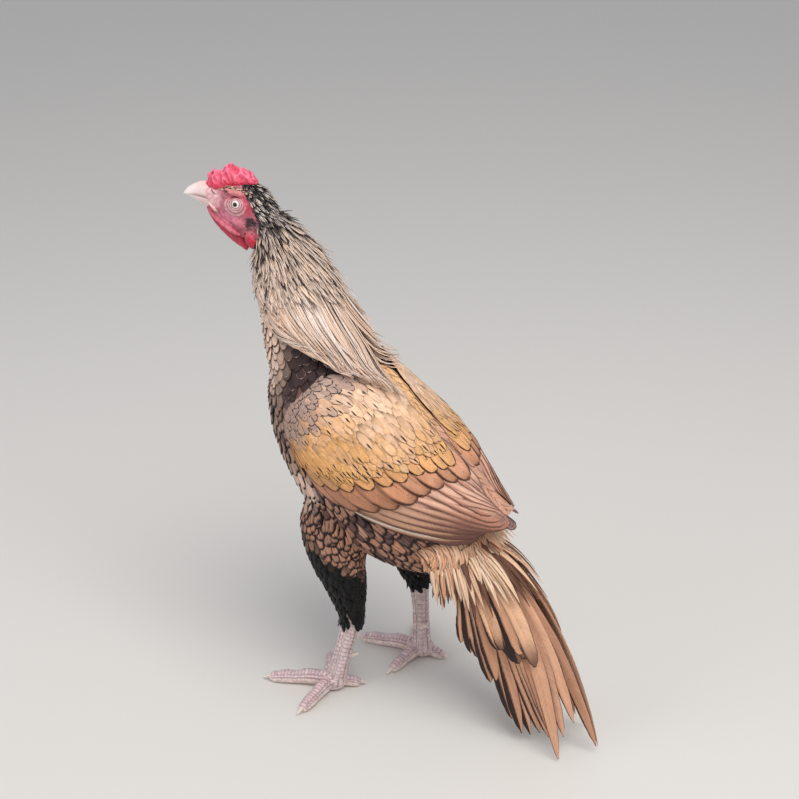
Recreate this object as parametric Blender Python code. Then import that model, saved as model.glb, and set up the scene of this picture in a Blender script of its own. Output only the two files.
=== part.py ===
# Aseel rooster, life size, standing still: head, neck, torso, wings, tail and legs as separate solids.
# The bird faces -Y with its left side at +X. Sizes are in metres. While the forms are worked out, places
# are counted from the middle of the stance; at the end everything moves so that the origin is on the
# floor under the middle of the bird's length and breadth.

import math

import bmesh
import bpy
import numpy as np
from mathutils import Matrix, Vector
from mathutils.bvhtree import BVHTree

for old in list(bpy.data.objects):
    bpy.data.objects.remove(old, do_unlink=True)

# Driving dimensions
GAP = 0.0003
STANCE_TO_MIDDLE = (0.0085, 0.0331)
FEATHER_THICK = 0.0009
EYE_RADIUS = 0.0072
WELDS = (0.00005, 0.00003, 0.00008, 0.00002, 0.00001, 0.0)
SIDES = (("left", 1.0), ("right", -1.0))

# Stations run from first end to last: x, y, z, half width, depth behind (above), depth before (below).
HEAD = (
    (0.0, -0.2140, 0.5530, 0.0090, 0.0110, 0.0140),
    (0.0, -0.2040, 0.5535, 0.0125, 0.0150, 0.0240),
    (0.0, -0.1880, 0.5535, 0.0160, 0.0190, 0.0330),
    (0.0, -0.1680, 0.5550, 0.0190, 0.0240, 0.0410),
    (0.0, -0.1520, 0.5540, 0.0205, 0.0240, 0.0400),
    (0.0, -0.1390, 0.5460, 0.0190, 0.0200, 0.0330),
    (0.0, -0.1290, 0.5370, 0.0140, 0.0120, 0.0200),
)
NECK = (
    (0.0, -0.1440, 0.5430, 0.0170, 0.0220, 0.0190),
    (0.0, -0.1260, 0.5200, 0.0290, 0.0380, 0.0340),
    (0.0, -0.1080, 0.4880, 0.0400, 0.0470, 0.0420),
    (0.0, -0.0940, 0.4500, 0.0460, 0.0490, 0.0480),
    (0.0, -0.0820, 0.4150, 0.0530, 0.0530, 0.0540),
    (0.0, -0.0700, 0.3850, 0.0560, 0.0540, 0.0560),
)
TORSO = (
    (0.0, -0.0860, 0.4280, 0.0300, 0.0300, 0.0300),
    (0.0, -0.0740, 0.3950, 0.0580, 0.0580, 0.0580),
    (0.0, -0.0500, 0.3480, 0.0720, 0.0720, 0.0860),
    (0.0, -0.0140, 0.3020, 0.0760, 0.0770, 0.1000),
    (0.0, 0.0300, 0.2620, 0.0730, 0.0760, 0.1020),
    (0.0, 0.0740, 0.2320, 0.0620, 0.0620, 0.0720),
    (0.0, 0.1100, 0.2130, 0.0450, 0.0420, 0.0420),
    (0.0, 0.1380, 0.2000, 0.0280, 0.0240, 0.0230),
)
RUMP_FROM = 0.72
TORSO_RINGS = (12, 20)
RUMP_RINGS = (6, 20)
TAIL_CORE = (
    (0.0, 0.1150, 0.2080, 0.0200, 0.0200, 0.0220),
    (0.0, 0.1450, 0.1920, 0.0190, 0.0200, 0.0220),
    (0.0, 0.1720, 0.1660, 0.0140, 0.0170, 0.0190),
    (0.0, 0.1950, 0.1350, 0.0080, 0.0120, 0.0130),
)
THIGH = (
    (0.036, -0.0270, 0.2450, 0.0300, 0.0380, 0.0380),
    (0.047, -0.0270, 0.2150, 0.0320, 0.0410, 0.0400),
    (0.051, -0.0190, 0.1800, 0.0270, 0.0360, 0.0350),
    (0.051, -0.0080, 0.1450, 0.0200, 0.0270, 0.0270),
    (0.050, -0.0040, 0.1180, 0.0150, 0.0200, 0.0200),
    (0.050, -0.0030, 0.1000, 0.0115, 0.0145, 0.0145),
)
SHANKS = {
    "left": (
        (0.0500, 0.0000, 0.1250, 0.0095, 0.0105, 0.0105),
        (0.0500, -0.0010, 0.1040, 0.0105, 0.0115, 0.0115),
        (0.0505, -0.0070, 0.0780, 0.0090, 0.0098, 0.0098),
        (0.0512, -0.0140, 0.0500, 0.0088, 0.0095, 0.0095),
        (0.0518, -0.0200, 0.0260, 0.0098, 0.0105, 0.0105),
        (0.0520, -0.0230, 0.0120, 0.0110, 0.0115, 0.0115),
    ),
    "right": (
        (-0.0500, 0.0260, 0.1300, 0.0095, 0.0105, 0.0105),
        (-0.0500, 0.0270, 0.1080, 0.0105, 0.0115, 0.0115),
        (-0.0508, 0.0290, 0.0800, 0.0090, 0.0098, 0.0098),
        (-0.0514, 0.0300, 0.0520, 0.0088, 0.0095, 0.0095),
        (-0.0520, 0.0305, 0.0260, 0.0098, 0.0105, 0.0105),
        (-0.0522, 0.0305, 0.0120, 0.0110, 0.0115, 0.0115),
    ),
}
# How far each hock lies behind, and over, the left one's.
HOCK_SHIFT = {"left": 0.0, "right": 0.0280}
HOCK_RISE = {"left": 0.0, "right": 0.0030}

# The bird looks a little to its left and up. Each form is made with the head straight ahead, and then each
# level of the upper neck and head turns about the neck's own line by its share of these.
TURN = math.radians(22)
TURN_FROM, TURN_FULL = 0.440, 0.525
FORESHORTEN = 0.139
HEAD_LIFT = 0.194

# A wing's outer face, front to tip: its upper edge, the middle of its width and its lower edge (left wing).
WING = (
    (0.0500, -0.0520, 0.3900, 0.0660, -0.0740, 0.3500, 0.0600, -0.0640, 0.3060),
    (0.0480, -0.0260, 0.4020, 0.0820, -0.0400, 0.3520, 0.0770, -0.0360, 0.2900),
    (0.0240, 0.0040, 0.4020, 0.0860, -0.0060, 0.3450, 0.0810, -0.0020, 0.2750),
    (0.0130, 0.0340, 0.3860, 0.0840, 0.0280, 0.3320, 0.0790, 0.0300, 0.2660),
    (0.0110, 0.0650, 0.3590, 0.0760, 0.0620, 0.3180, 0.0690, 0.0640, 0.2570),
    (0.0100, 0.0950, 0.3350, 0.0630, 0.0940, 0.3050, 0.0560, 0.0980, 0.2500),
    (0.0100, 0.1260, 0.3080, 0.0450, 0.1250, 0.2910, 0.0440, 0.1290, 0.2500),
    (0.0100, 0.1520, 0.2860, 0.0280, 0.1520, 0.2790, 0.0320, 0.1560, 0.2600),
    (0.0120, 0.1760, 0.2720, 0.0160, 0.1760, 0.2700, 0.0180, 0.1760, 0.2660),
)
# The right wing's tip stops short of the left one by this much.
WING_SHORT = {1.0: 0.0, -1.0: 0.011}
WING_THICK = (0.014, 0.014, 0.012, 0.010, 0.008, 0.006, 0.005, 0.004, 0.003)

# Ends of the toes' undersides from the middle of each pad, and the toes' thickness at root and end.
FEET = {
    "left": {
        "pad": (0.0545, -0.0270),
        "inner": (-0.0370, -0.0290, 0.0175, 0.0120),
        "middle": (0.0300, -0.0640, 0.0190, 0.0130),
        "outer": (0.0570, -0.0010, 0.0180, 0.0125),
        "hind": (-0.0150, 0.0250, 0.0145, 0.0115),
    },
    "right": {
        "pad": (-0.0545, 0.0270),
        "inner": (0.0490, -0.0070, 0.0175, 0.0120),
        "middle": (0.0160, -0.0690, 0.0190, 0.0130),
        "outer": (-0.0420, -0.0280, 0.0180, 0.0125),
        "hind": (-0.0030, 0.0280, 0.0145, 0.0115),
    },
}


def through(stations, u):
    """Catmull-Rom value at u, 0 to 1, through evenly counted stations."""
    rows = np.asarray(stations, float)
    place = min(max(u, 0.0), 1.0) * (len(rows) - 1)
    i = min(int(place), len(rows) - 2)
    f = place - i
    a, b = rows[i], rows[i + 1]
    before = rows[i - 1] if i else 2 * a - b
    after = rows[i + 2] if i + 2 < len(rows) else 2 * b - a
    return 0.5 * (
        2 * a
        + (b - before) * f
        + (2 * before - 5 * a + 4 * b - after) * f**2
        + (3 * a - before - 3 * b + after) * f**3
    )


class Form:
    """A rounded length of the body through stations, with a place for each share of length and turn round it.

    Turn 0 is the left side, a quarter is the back or top, a half the right side, three quarters the front."""

    def __init__(self, stations, grow=0.0):
        self.stations = stations
        self.grow = grow

    def section(self, u):
        x, y, z, width, back_depth, front_depth = through(self.stations, u)
        ahead = through(self.stations, min(u + 0.01, 1.0))
        behind = through(self.stations, max(u - 0.01, 0.0))
        along = Vector(ahead[:3] - behind[:3]).normalized()
        side = (Vector((1, 0, 0)) - along * along.x).normalized()
        back = side.cross(along)
        centre = Vector((x, y, z))
        if u <= 0.0:
            centre -= along * self.grow
        if u >= 1.0:
            centre += along * self.grow
        sizes = [max(size + self.grow, 0.0004) for size in (width, back_depth, front_depth)]
        return centre, along, side, back, sizes

    def at(self, u, turn, lift=0.0):
        centre, _, side, back, (width, back_depth, front_depth) = self.section(u)
        c, s = math.cos(turn * math.tau), math.sin(turn * math.tau)
        depth = back_depth if s > 0 else front_depth
        return centre + side * ((width + lift) * c) + back * ((depth + lift) * s)

    def normal(self, u, turn):
        near, far = max(u - 0.02, 0.0), min(u + 0.02, 1.0)
        lengthwise = self.at(far, turn) - self.at(near, turn)
        across = self.at(u, turn + 0.01) - self.at(u, turn - 0.01)
        return across.cross(lengthwise).normalized()


def closed_mesh(name, rings):
    """A closed mesh through rings of equally many points, with a fan of triangles over each end."""
    shape = bmesh.new()
    loops = [[shape.verts.new(point) for point in ring] for ring in rings]
    for near, far in zip(loops, loops[1:]):
        for k in range(len(near)):
            n = (k + 1) % len(near)
            shape.faces.new((near[k], near[n], far[n]))
            shape.faces.new((near[k], far[n], far[k]))
    for loop in (loops[0][::-1], loops[-1]):
        centre = shape.verts.new(sum((v.co for v in loop), Vector()) / len(loop))
        for k in range(len(loop)):
            shape.faces.new((loop[k], loop[(k + 1) % len(loop)], centre))
    bmesh.ops.recalc_face_normals(shape, faces=shape.faces)
    mesh = bpy.data.meshes.new(name)
    shape.to_mesh(mesh)
    shape.free()
    return mesh


NECK_LINE = sorted((z, y) for _, y, z, *_ in NECK)


def turned(point):
    """Where a point goes as the head looks round: each level turns about the neck's own line."""
    share = min(max((point.z - TURN_FROM) / (TURN_FULL - TURN_FROM), 0.0), 1.0)
    if not share:
        return point
    share = share * share * (3 - 2 * share)
    axis_y = float(np.interp(point.z, [z for z, _ in NECK_LINE], [y for _, y in NECK_LINE]))
    ahead = axis_y - point.y
    forward = ahead * (1 - FORESHORTEN * share)
    c, s = math.cos(TURN * share), math.sin(TURN * share)
    x = point.x * c + forward * s
    y = axis_y - forward * c + point.x * s
    return Vector((x, y, point.z + HEAD_LIFT * share * ahead))


def add(name, mesh):
    """Puts a mesh made straight ahead in the scene, with its points turned as the head looks round."""
    for v in mesh.vertices:
        v.co = turned(v.co)
    piece = bpy.data.objects.new(name, mesh)
    bpy.context.scene.collection.objects.link(piece)
    return piece


def loft(name, form, start=0.0, end=1.0, rings=12, sides=20):
    """The solid of a form between two shares of its length."""
    turns = [k / sides for k in range(sides)]
    shares = [start + (end - start) * i / (rings - 1) for i in range(rings)]
    return add(name, closed_mesh(name, [[form.at(u, turn) for turn in turns] for u in shares]))


def ball(name, centre, radii, level=2):
    """A low ellipsoid for bulbs, eyes and cutters."""
    shape = bmesh.new()
    bmesh.ops.create_icosphere(shape, subdivisions=level, radius=1.0)
    for v in shape.verts:
        v.co = Vector((v.co.x * radii[0], v.co.y * radii[1], v.co.z * radii[2])) + centre
    mesh = bpy.data.meshes.new(name)
    shape.to_mesh(mesh)
    shape.free()
    return add(name, mesh)


def boolean(target, others, operation, solver="EXACT"):
    """Joins other closed objects to the target, or cuts them from it, and removes them."""
    group = bpy.data.collections.new("operands")
    for piece in others:
        group.objects.link(piece)
    step = target.modifiers.new("boolean", "BOOLEAN")
    step.operation = operation
    step.operand_type = "COLLECTION"
    step.collection = group
    step.solver = solver
    graph = bpy.context.evaluated_depsgraph_get()
    mesh = bpy.data.meshes.new_from_object(target.evaluated_get(graph))
    target.modifiers.clear()
    target.data = mesh
    for piece in others:
        bpy.data.objects.remove(piece, do_unlink=True)
    bpy.data.collections.remove(group)
    return target


def islands(shape):
    """The separate surfaces of a bmesh, as lists of faces."""
    left, found = set(shape.faces), []
    while left:
        surface, edge = [], [left.pop()]
        while edge:
            face = edge.pop()
            surface.append(face)
            for line in face.edges:
                for other in line.link_faces:
                    if other in left:
                        left.remove(other)
                        edge.append(other)
        found.append(surface)
    return found


def enclosed(surface):
    """The volume inside a closed surface."""
    total = 0.0
    for face in surface:
        points = [v.co for v in face.verts]
        for b, c in zip(points[1:], points[2:]):
            total += points[0].dot(b.cross(c)) / 6
    return total


def keep_largest(piece):
    """Welds near points, where the surface stays closed, and leaves only the largest closed surface."""
    for weld in WELDS:
        shape = bmesh.new()
        shape.from_mesh(piece.data)
        if weld:
            bmesh.ops.remove_doubles(shape, verts=shape.verts, dist=weld)
            bmesh.ops.dissolve_degenerate(shape, edges=shape.edges, dist=weld)
        bmesh.ops.triangulate(shape, faces=shape.faces)
        surfaces = sorted(islands(shape), key=enclosed, reverse=True)
        scraps = [face for surface in surfaces[1:] for face in surface]
        bmesh.ops.delete(shape, geom=scraps, context="FACES")
        closed = all(len(edge.link_faces) == 2 for edge in shape.edges)
        if closed or not weld:
            shape.to_mesh(piece.data)
            shape.free()
            return piece
        shape.free()
    return piece


def finish(name, colour, roughness):
    material = bpy.data.materials.new(name)
    material.use_nodes = True
    shader = material.node_tree.nodes["Principled BSDF"]
    shader.inputs["Base Color"].default_value = (*colour, 1.0)
    shader.inputs["Roughness"].default_value = roughness
    shader.inputs["Metallic"].default_value = 0.0
    return material


def paint(piece, material):
    piece.data.materials.clear()
    piece.data.materials.append(material)
    piece.data.shade_smooth()
    piece.data.set_sharp_from_angle(angle=math.radians(50))
    return piece


COMB_RED = finish("comb_red", (0.72, 0.06, 0.10), 0.45)
FACE_RED = finish("face_red", (0.62, 0.16, 0.18), 0.5)
BEAK_HORN = finish("beak_horn", (0.80, 0.66, 0.58), 0.4)
EYE_PEARL = finish("eye_pearl", (0.80, 0.72, 0.62), 0.08)
HACKLE_CREAM = finish("hackle_cream", (0.62, 0.48, 0.34), 0.6)
BREAST_BROWN = finish("breast_brown", (0.26, 0.16, 0.12), 0.6)
WING_GOLD = finish("wing_gold", (0.68, 0.40, 0.18), 0.55)
SADDLE_CREAM = finish("saddle_cream", (0.74, 0.56, 0.34), 0.55)
TAIL_BROWN = finish("tail_brown", (0.48, 0.25, 0.14), 0.5)
THIGH_BLACK = finish("thigh_black", (0.03, 0.025, 0.03), 0.55)
SHANK_PINK = finish("shank_pink", (0.66, 0.50, 0.46), 0.5)
CLAW_HORN = finish("claw_horn", (0.60, 0.50, 0.42), 0.4)


def vane(name, points, normals, widths, thick, round_tip=False):
    """One feather as a thin closed blade along points, with its flat side facing the normals."""
    rings = []
    last = len(points) - 1
    for i, (point, normal, width) in enumerate(zip(points, normals, widths)):
        along = (points[min(i + 1, last)] - points[max(i - 1, 0)]).normalized()
        side = along.cross(normal).normalized()
        up = side.cross(along).normalized()
        depth = thick if i < last else thick * (0.8 if round_tip else 0.6)
        rings.append(
            [
                point + side * width / 2 + up * depth / 2,
                point - side * width / 2 + up * depth / 2,
                point - side * width / 2 - up * depth / 2,
                point + side * width / 2 - up * depth / 2,
            ]
        )
    return add(name, closed_mesh(name, rings))



class Wing:
    """A wing's outer face: s runs from the shoulder to the tip and t from the upper edge to the lower one."""

    def __init__(self, side):
        self.side = side

    def face(self, s, t, lift=0.0):
        row = through(WING, s)
        upper, middle, lower = (Vector(row[i : i + 3]) for i in (0, 3, 6))
        point = upper * ((1 - t) * (1 - 2 * t)) + middle * (4 * t * (1 - t)) + lower * (t * (2 * t - 1))
        point.y -= WING_SHORT[self.side] * s * s
        point.x *= self.side
        return point + self.normal(s, t) * lift if lift else point

    def normal(self, s, t):
        s0, s1, t0, t1 = max(s - 0.01, 0), min(s + 0.01, 1), max(t - 0.02, 0), min(t + 0.02, 1)
        down = self.face(s, t1) - self.face(s, t0)
        back = self.face(s1, t) - self.face(s0, t)
        return down.cross(back).normalized() * self.side

    def slab(self, name, start, end, lift=0.0, deeper=0.0, rings=12, across=7):
        """The closed plate under the outer face, between two shares of its length."""
        loops = []
        for i in range(rings):
            s = start + (end - start) * i / (rings - 1)
            depth = float(through([(v, 0) for v in WING_THICK], s)[0]) + deeper
            shares = [k / (across - 1) for k in range(across)]
            outer = [self.face(s, t, lift) for t in shares]
            inner = [self.face(s, t, -depth) for t in shares[::-1]]
            loops.append(outer + inner)
        return add(name, closed_mesh(name, loops))


def box(name, low, high):
    """A plain block between two corners."""
    shape = bmesh.new()
    bmesh.ops.create_cube(shape, size=1.0)
    for v in shape.verts:
        v.co = Vector((low[i] if v.co[i] < 0 else high[i] for i in range(3)))
    mesh = bpy.data.meshes.new(name)
    shape.to_mesh(mesh)
    shape.free()
    return add(name, mesh)


def floor_cut():
    return box("below_floor", (-0.5, -0.5, -0.1), (0.5, 0.5, 0.0))


def mirrored(stations, side):
    return tuple((row[0] * side, *row[1:]) for row in stations)


def bezier(points, s):
    """A point on the Bezier curve of these control points."""
    work = [Vector(p) for p in points]
    while len(work) > 1:
        work = [a.lerp(b, s) for a, b in zip(work, work[1:])]
    return work[0]


def tube(name, path, radii, sides=10, squash=1.0):
    """A round bar along a path, with its height scaled by squash."""
    rings = []
    last = len(path) - 1
    for i, (point, radius) in enumerate(zip(path, radii)):
        along = (path[min(i + 1, last)] - path[max(i - 1, 0)]).normalized()
        side = along.cross(Vector((0, 0, 1)))
        side = side.normalized() if side.length > 0.05 else Vector((1, 0, 0))
        up = side.cross(along).normalized()
        ring = []
        for k in range(sides):
            c, s = math.cos(math.tau * k / sides), math.sin(math.tau * k / sides)
            ring.append(point + side * (radius * c) + up * (radius * squash * s))
        rings.append(ring)
    return add(name, closed_mesh(name, rings))


def ring_round(name, centre, normal, across, major, minor, count=16, sides=6):
    """A rim such as an eyelid: a closed ring with two radii, set square to the normal."""
    other = normal.cross(across).normalized()
    shape = bmesh.new()
    loops = []
    for i in range(count):
        a = math.tau * i / count
        out = across * math.cos(a) + other * math.sin(a)
        middle = centre + across * (major[0] * math.cos(a)) + other * (major[1] * math.sin(a))
        loop = []
        for k in range(sides):
            b = math.tau * k / sides
            point = middle + out * (minor * math.cos(b)) + normal * (minor * math.sin(b))
            loop.append(shape.verts.new(point))
        loops.append(loop)
    for i in range(count):
        near, far = loops[i], loops[(i + 1) % count]
        for k in range(sides):
            n = (k + 1) % sides
            shape.faces.new((near[k], near[n], far[n]))
            shape.faces.new((near[k], far[n], far[k]))
    bmesh.ops.recalc_face_normals(shape, faces=shape.faces)
    mesh = bpy.data.meshes.new(name)
    shape.to_mesh(mesh)
    shape.free()
    return add(name, mesh)


def eye_centre(side):
    return Vector((0.0138 * side, -0.1690, 0.5565))


def eye_ball(name, side, grow=0.0):
    """An eye, or its socket, longer along the head by what the head's turn takes from it."""
    radius = EYE_RADIUS + grow
    return ball(name, eye_centre(side), (radius, radius / (1 - FORESHORTEN), radius), 2)


def head_bumps(grow):
    """Brows and cheeks, which stand out from the head's plain form."""
    bumps = []
    for _, side in SIDES:
        for x, y, z, radii in (
            (0.0140, -0.1710, 0.5685, (0.0050, 0.0120, 0.0034)),
            (0.0120, -0.1630, 0.5370, (0.0080, 0.0160, 0.0090)),
        ):
            bumps.append(ball("bump", Vector((x * side, y, z)), [radius + grow for radius in radii], 1))
    return bumps


def cut_by_head(piece, solver="EXACT"):
    boolean(piece, head_bumps(GAP), "DIFFERENCE", solver)
    return boolean(piece, [loft("head_cut", Form(HEAD, GAP), 0.0, 1.0, 15, 20)], "DIFFERENCE", solver)


def cut_by_neck(piece, solver="EXACT"):
    return boolean(piece, [loft("neck_cut", Form(NECK, GAP), 0.0, 1.0, 12, 20)], "DIFFERENCE", solver)


def cut_by_torso(piece, solver="EXACT"):
    boolean(piece, [loft("torso_cut", Form(TORSO, GAP), 0.0, RUMP_FROM, *TORSO_RINGS)], "DIFFERENCE", solver)
    cutter = loft("rump_cut", Form(TORSO, GAP), RUMP_FROM - 0.01, 1.0, *RUMP_RINGS)
    return boolean(piece, [cutter], "DIFFERENCE", solver)


def head():
    form = Form(HEAD)
    piece = loft("head", form, 0.0, 1.0, rings=15, sides=20)
    extras = head_bumps(0.0)
    for _, side in SIDES:
        out = Vector((side, -0.16, 0.16)).normalized()
        across = out.cross(Vector((0, 0, 1))).normalized()
        centre = eye_centre(side)
        extras.append(ring_round("lid", centre + out * 0.0058, out, across, (0.0070, 0.0056), 0.0015, 12, 5))
    boolean(piece, extras, "UNION", "MANIFOLD")
    cutters = []
    for _, side in SIDES:
        cutters.append(eye_ball("socket", side, GAP))
        cutters.append(ball("ear", Vector((0.0225 * side, -0.1510, 0.5460)), (0.0042, 0.0046, 0.0036)))
    boolean(piece, cutters, "DIFFERENCE", "MANIFOLD")
    return paint(keep_largest(piece), FACE_RED)


def eye(label, side):
    return paint(eye_ball("eye_" + label, side), EYE_PEARL)


# The beak in the middle plane: y, culmen z, mouth z, lower edge z, half width.
BEAK = (
    (-0.2050, 0.5680, 0.5515, 0.5360, 0.0110),
    (-0.2140, 0.5660, 0.5512, 0.5390, 0.0098),
    (-0.2220, 0.5630, 0.5508, 0.5420, 0.0085),
    (-0.2300, 0.5595, 0.5495, 0.5445, 0.0064),
    (-0.2370, 0.5545, 0.5470, 0.5458, 0.0038),
    (-0.2420, 0.5475, 0.5462, 0.5460, 0.0012),
)
LOWER_BEAK_REACH = 0.86


def beak_rings(upper, shares, sides=8, grow=0.0):
    loops = []
    for u in shares:
        y, culmen, mouth, lower, width = through(BEAK, u)
        edge = mouth + GAP / 2 - grow if upper else mouth - GAP / 2 + grow
        height = max((culmen - mouth) if upper else (mouth - lower), 0.0010) + grow
        ring = []
        for k in range(sides + 1):
            a = math.pi * k / sides
            z = height * math.sin(a) ** 0.8
            ring.append(Vector(((width + grow) * math.cos(a), y, edge + z if upper else edge - z)))
        ring.append(Vector((0.0, y, edge)))
        loops.append(ring)
    return loops


def beak_shares(upper):
    reach = 1.0 if upper else LOWER_BEAK_REACH
    return [reach * i / 8 for i in range(9)]


def beak_cut(upper):
    return add("beak_cut", closed_mesh("beak_cut", beak_rings(upper, beak_shares(upper), grow=GAP)))


def beak(name, upper):
    piece = add(name, closed_mesh(name, beak_rings(upper, beak_shares(upper))))
    cut_by_head(piece)
    if upper:
        places = [Vector((0.0092 * side, -0.2165, 0.5600)) for _, side in SIDES]
        nostrils = [ball("nostril", place, (0.0016, 0.0032, 0.0011), 1) for place in places]
        boolean(piece, nostrils, "DIFFERENCE")
    return paint(keep_largest(piece), BEAK_HORN)


def comb_line(s):
    """The line of the skull under the comb, from the beak to the nape."""
    return bezier(((0, -0.2110, 0.5670), (0, -0.1950, 0.5690), (0, -0.1700, 0.5790), (0, -0.1500, 0.5820)), s)


def comb():
    pieces = []
    for row in range(-1, 2):
        count = 7 if row == 0 else 6
        for i in range(count):
            s = (i + 0.5 + 0.15 * row) / count
            base = comb_line(s)
            hump = math.sin(math.pi * min(max(s * 0.92 + 0.08, 0.0), 1.0)) ** 0.7
            rise = (0.0155 if row == 0 else 0.0085) * hump + 0.0012 * math.sin(5.1 * i + 2.3 * row)
            radius = 0.0052 + 0.0012 * math.sin(2.7 * i + row * 1.3)
            centre = base + Vector((0.0074 * row, 0.0, rise))
            pieces.append(ball("bulb", centre, (radius, radius * 1.2, radius * 1.2), 1))
    path = [comb_line(i / 7) + Vector((0, 0, 0.0045)) for i in range(8)]
    core = tube("comb", path, [0.0060, 0.0085, 0.0100, 0.0108, 0.0108, 0.0100, 0.0085, 0.0060], 12, 0.9)
    boolean(core, pieces, "UNION", "MANIFOLD")
    cut_by_head(core)
    boolean(core, [beak_cut(True)], "DIFFERENCE")
    return paint(keep_largest(core), COMB_RED)


def dewlap():
    controls = ((0, -0.2100, 0.5380), (0, -0.2030, 0.5270), (0, -0.1900, 0.5185), (0, -0.1620, 0.5070))
    path = [bezier(controls, i / 7) for i in range(8)]
    piece = tube("dewlap", path, [0.0035, 0.0050, 0.0058, 0.0062, 0.0064, 0.0063, 0.0058, 0.0046], 10, 1.1)
    cut_by_head(piece, "MANIFOLD")
    cut_by_neck(piece, "MANIFOLD")
    boolean(piece, [beak_cut(False)], "DIFFERENCE", "MANIFOLD")
    return paint(keep_largest(piece), COMB_RED)


def earlobe(label, side):
    piece = ball("earlobe_" + label, Vector((0.0150 * side, -0.1520, 0.5205)), (0.0050, 0.0085, 0.0096), 2)
    cut_by_head(piece, "MANIFOLD")
    cut_by_neck(piece, "MANIFOLD")
    return paint(keep_largest(piece), COMB_RED)


def torso():
    piece = loft("torso", Form(TORSO), 0.0, RUMP_FROM, *TORSO_RINGS)
    cut_by_neck(piece)
    return paint(keep_largest(piece), BREAST_BROWN)


def surface_of(*pieces):
    """A search tree over the triangles of finished pieces."""
    corners, faces = [], []
    for piece in pieces:
        base = len(corners)
        corners += [v.co.copy() for v in piece.data.vertices]
        faces += [[base + i for i in face.vertices] for face in piece.data.polygons]
    return BVHTree.FromPolygons(corners, faces)


def clear_of(points, tree, distance):
    """The points, with those nearer than the distance to a surface, or under it, moved out to it."""
    moved = []
    for point in points:
        place, normal, _, _ = tree.find_nearest(point)
        if (point - place).dot(normal) < distance:
            point = place + normal * distance
        moved.append(point)
    return moved


def wing_feather(shape, start, end, width, lifts, tilt, profile):
    """A feather laid on a wing's face from one (s, t) to another, its lower edge tilted out over the next.

    Its lift over the face is given at its root, where the row above ends over it, and at its tip."""
    points, normals = [], []
    count = len(profile)
    sunk = 0.35
    for i in range(count):
        f = i / (count - 1)
        s = start[0] + (end[0] - start[0]) * f
        t = start[1] + (end[1] - start[1]) * f
        lift = lifts[0] + (lifts[1] - lifts[0]) * min(f / sunk, 1.0)
        lift += (lifts[2] - lifts[1]) * max(f - sunk, 0.0) / (1 - sunk)
        points.append(shape.face(s, t, lift))
        up = (shape.face(s, max(t - 0.02, 0)) - shape.face(s, min(t + 0.02, 1))).normalized()
        normals.append((shape.normal(s, t) + up * math.tan(tilt)).normalized())
    return vane("feather", points, normals, [width * share for share in profile], FEATHER_THICK, True)


# Rows of a wing's feathers: tips as (s, t) from front to back or top to bottom.
MEDIAN_TIPS = ((0.24, 0.85), (0.37, 0.73), (0.49, 0.56), (0.58, 0.38), (0.65, 0.20))
GREATER_TIPS = ((0.29, 0.95), (0.41, 0.88), (0.52, 0.76), (0.60, 0.59), (0.66, 0.41), (0.705, 0.22))
FLIGHT_COUNT = 6
FLIGHT_WIDTH = 0.0242
COVERT_WIDTH = 0.0230
COVERT_RISE = 0.0040
ROUNDED = (0.6, 1.0, 0.95, 0.45)
LONG_ROUNDED = (0.55, 0.95, 1.0, 0.8, 0.3)


def wing_feathers(shape):
    feathers = []
    for k in range(FLIGHT_COUNT):
        f = k / (FLIGHT_COUNT - 1)
        start = (0.46 - 0.10 * f, 0.10 + 0.82 * f)
        reach = 0.80 + 0.20 * math.sin(math.pi * min(f * 0.8 + 0.02, 0.5)) - 0.42 * max(f - 0.62, 0.0)
        end = (reach, 0.08 + 0.88 * f)
        lifts = (-0.0016, 0.0004, 0.0)
        feathers.append(wing_feather(shape, start, end, FLIGHT_WIDTH, lifts, 0.13, LONG_ROUNDED))
    for s, t in GREATER_TIPS:
        start = (s - 0.15, max(t - 0.13, 0.04))
        lifts = (-0.0020, 0.0012, 0.0024)
        feathers.append(wing_feather(shape, start, (s, t), COVERT_WIDTH, lifts, 0.12, ROUNDED))
    for s, t in MEDIAN_TIPS:
        start = (s - 0.11, max(t - 0.11, 0.04))
        lifts = (-0.0020, 0.0024, COVERT_RISE)
        feathers.append(wing_feather(shape, start, (s, t), COVERT_WIDTH, lifts, 0.14, ROUNDED))
    return feathers


def wing(label, side):
    shape = Wing(side)
    piece = shape.slab("wing_" + label, 0.0, 0.74, rings=10)
    boolean(piece, wing_feathers(shape), "UNION", "MANIFOLD")
    cut_by_torso(piece, "MANIFOLD")
    cut_by_neck(piece, "MANIFOLD")
    return paint(keep_largest(piece), WING_GOLD)


LOCK = (0.55, 0.9, 1.0, 0.7, 0.15)
# Rows of hackle locks: share of the neck's length at root and tip, count, and turns of the first and last.
HACKLE_ROWS = (
    (0.13, 0.42, 7, -0.13, 0.63),
    (0.38, 0.68, 7, -0.10, 0.60),
)
# The cape's tips on one side, from the breast round to the middle of the back.
CAPE_TIPS = (
    (0.034, -0.122, 0.452),
    (0.048, -0.088, 0.432),
    (0.054, -0.062, 0.420),
    (0.052, -0.034, 0.416),
    (0.042, -0.006, 0.410),
    (0.026, 0.016, 0.400),
    (0.010, 0.032, 0.384),
)
CAPE_COUNT = 9
CAPE_WIDTH = 0.024
CAPE_LIFT = 0.0028


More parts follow.
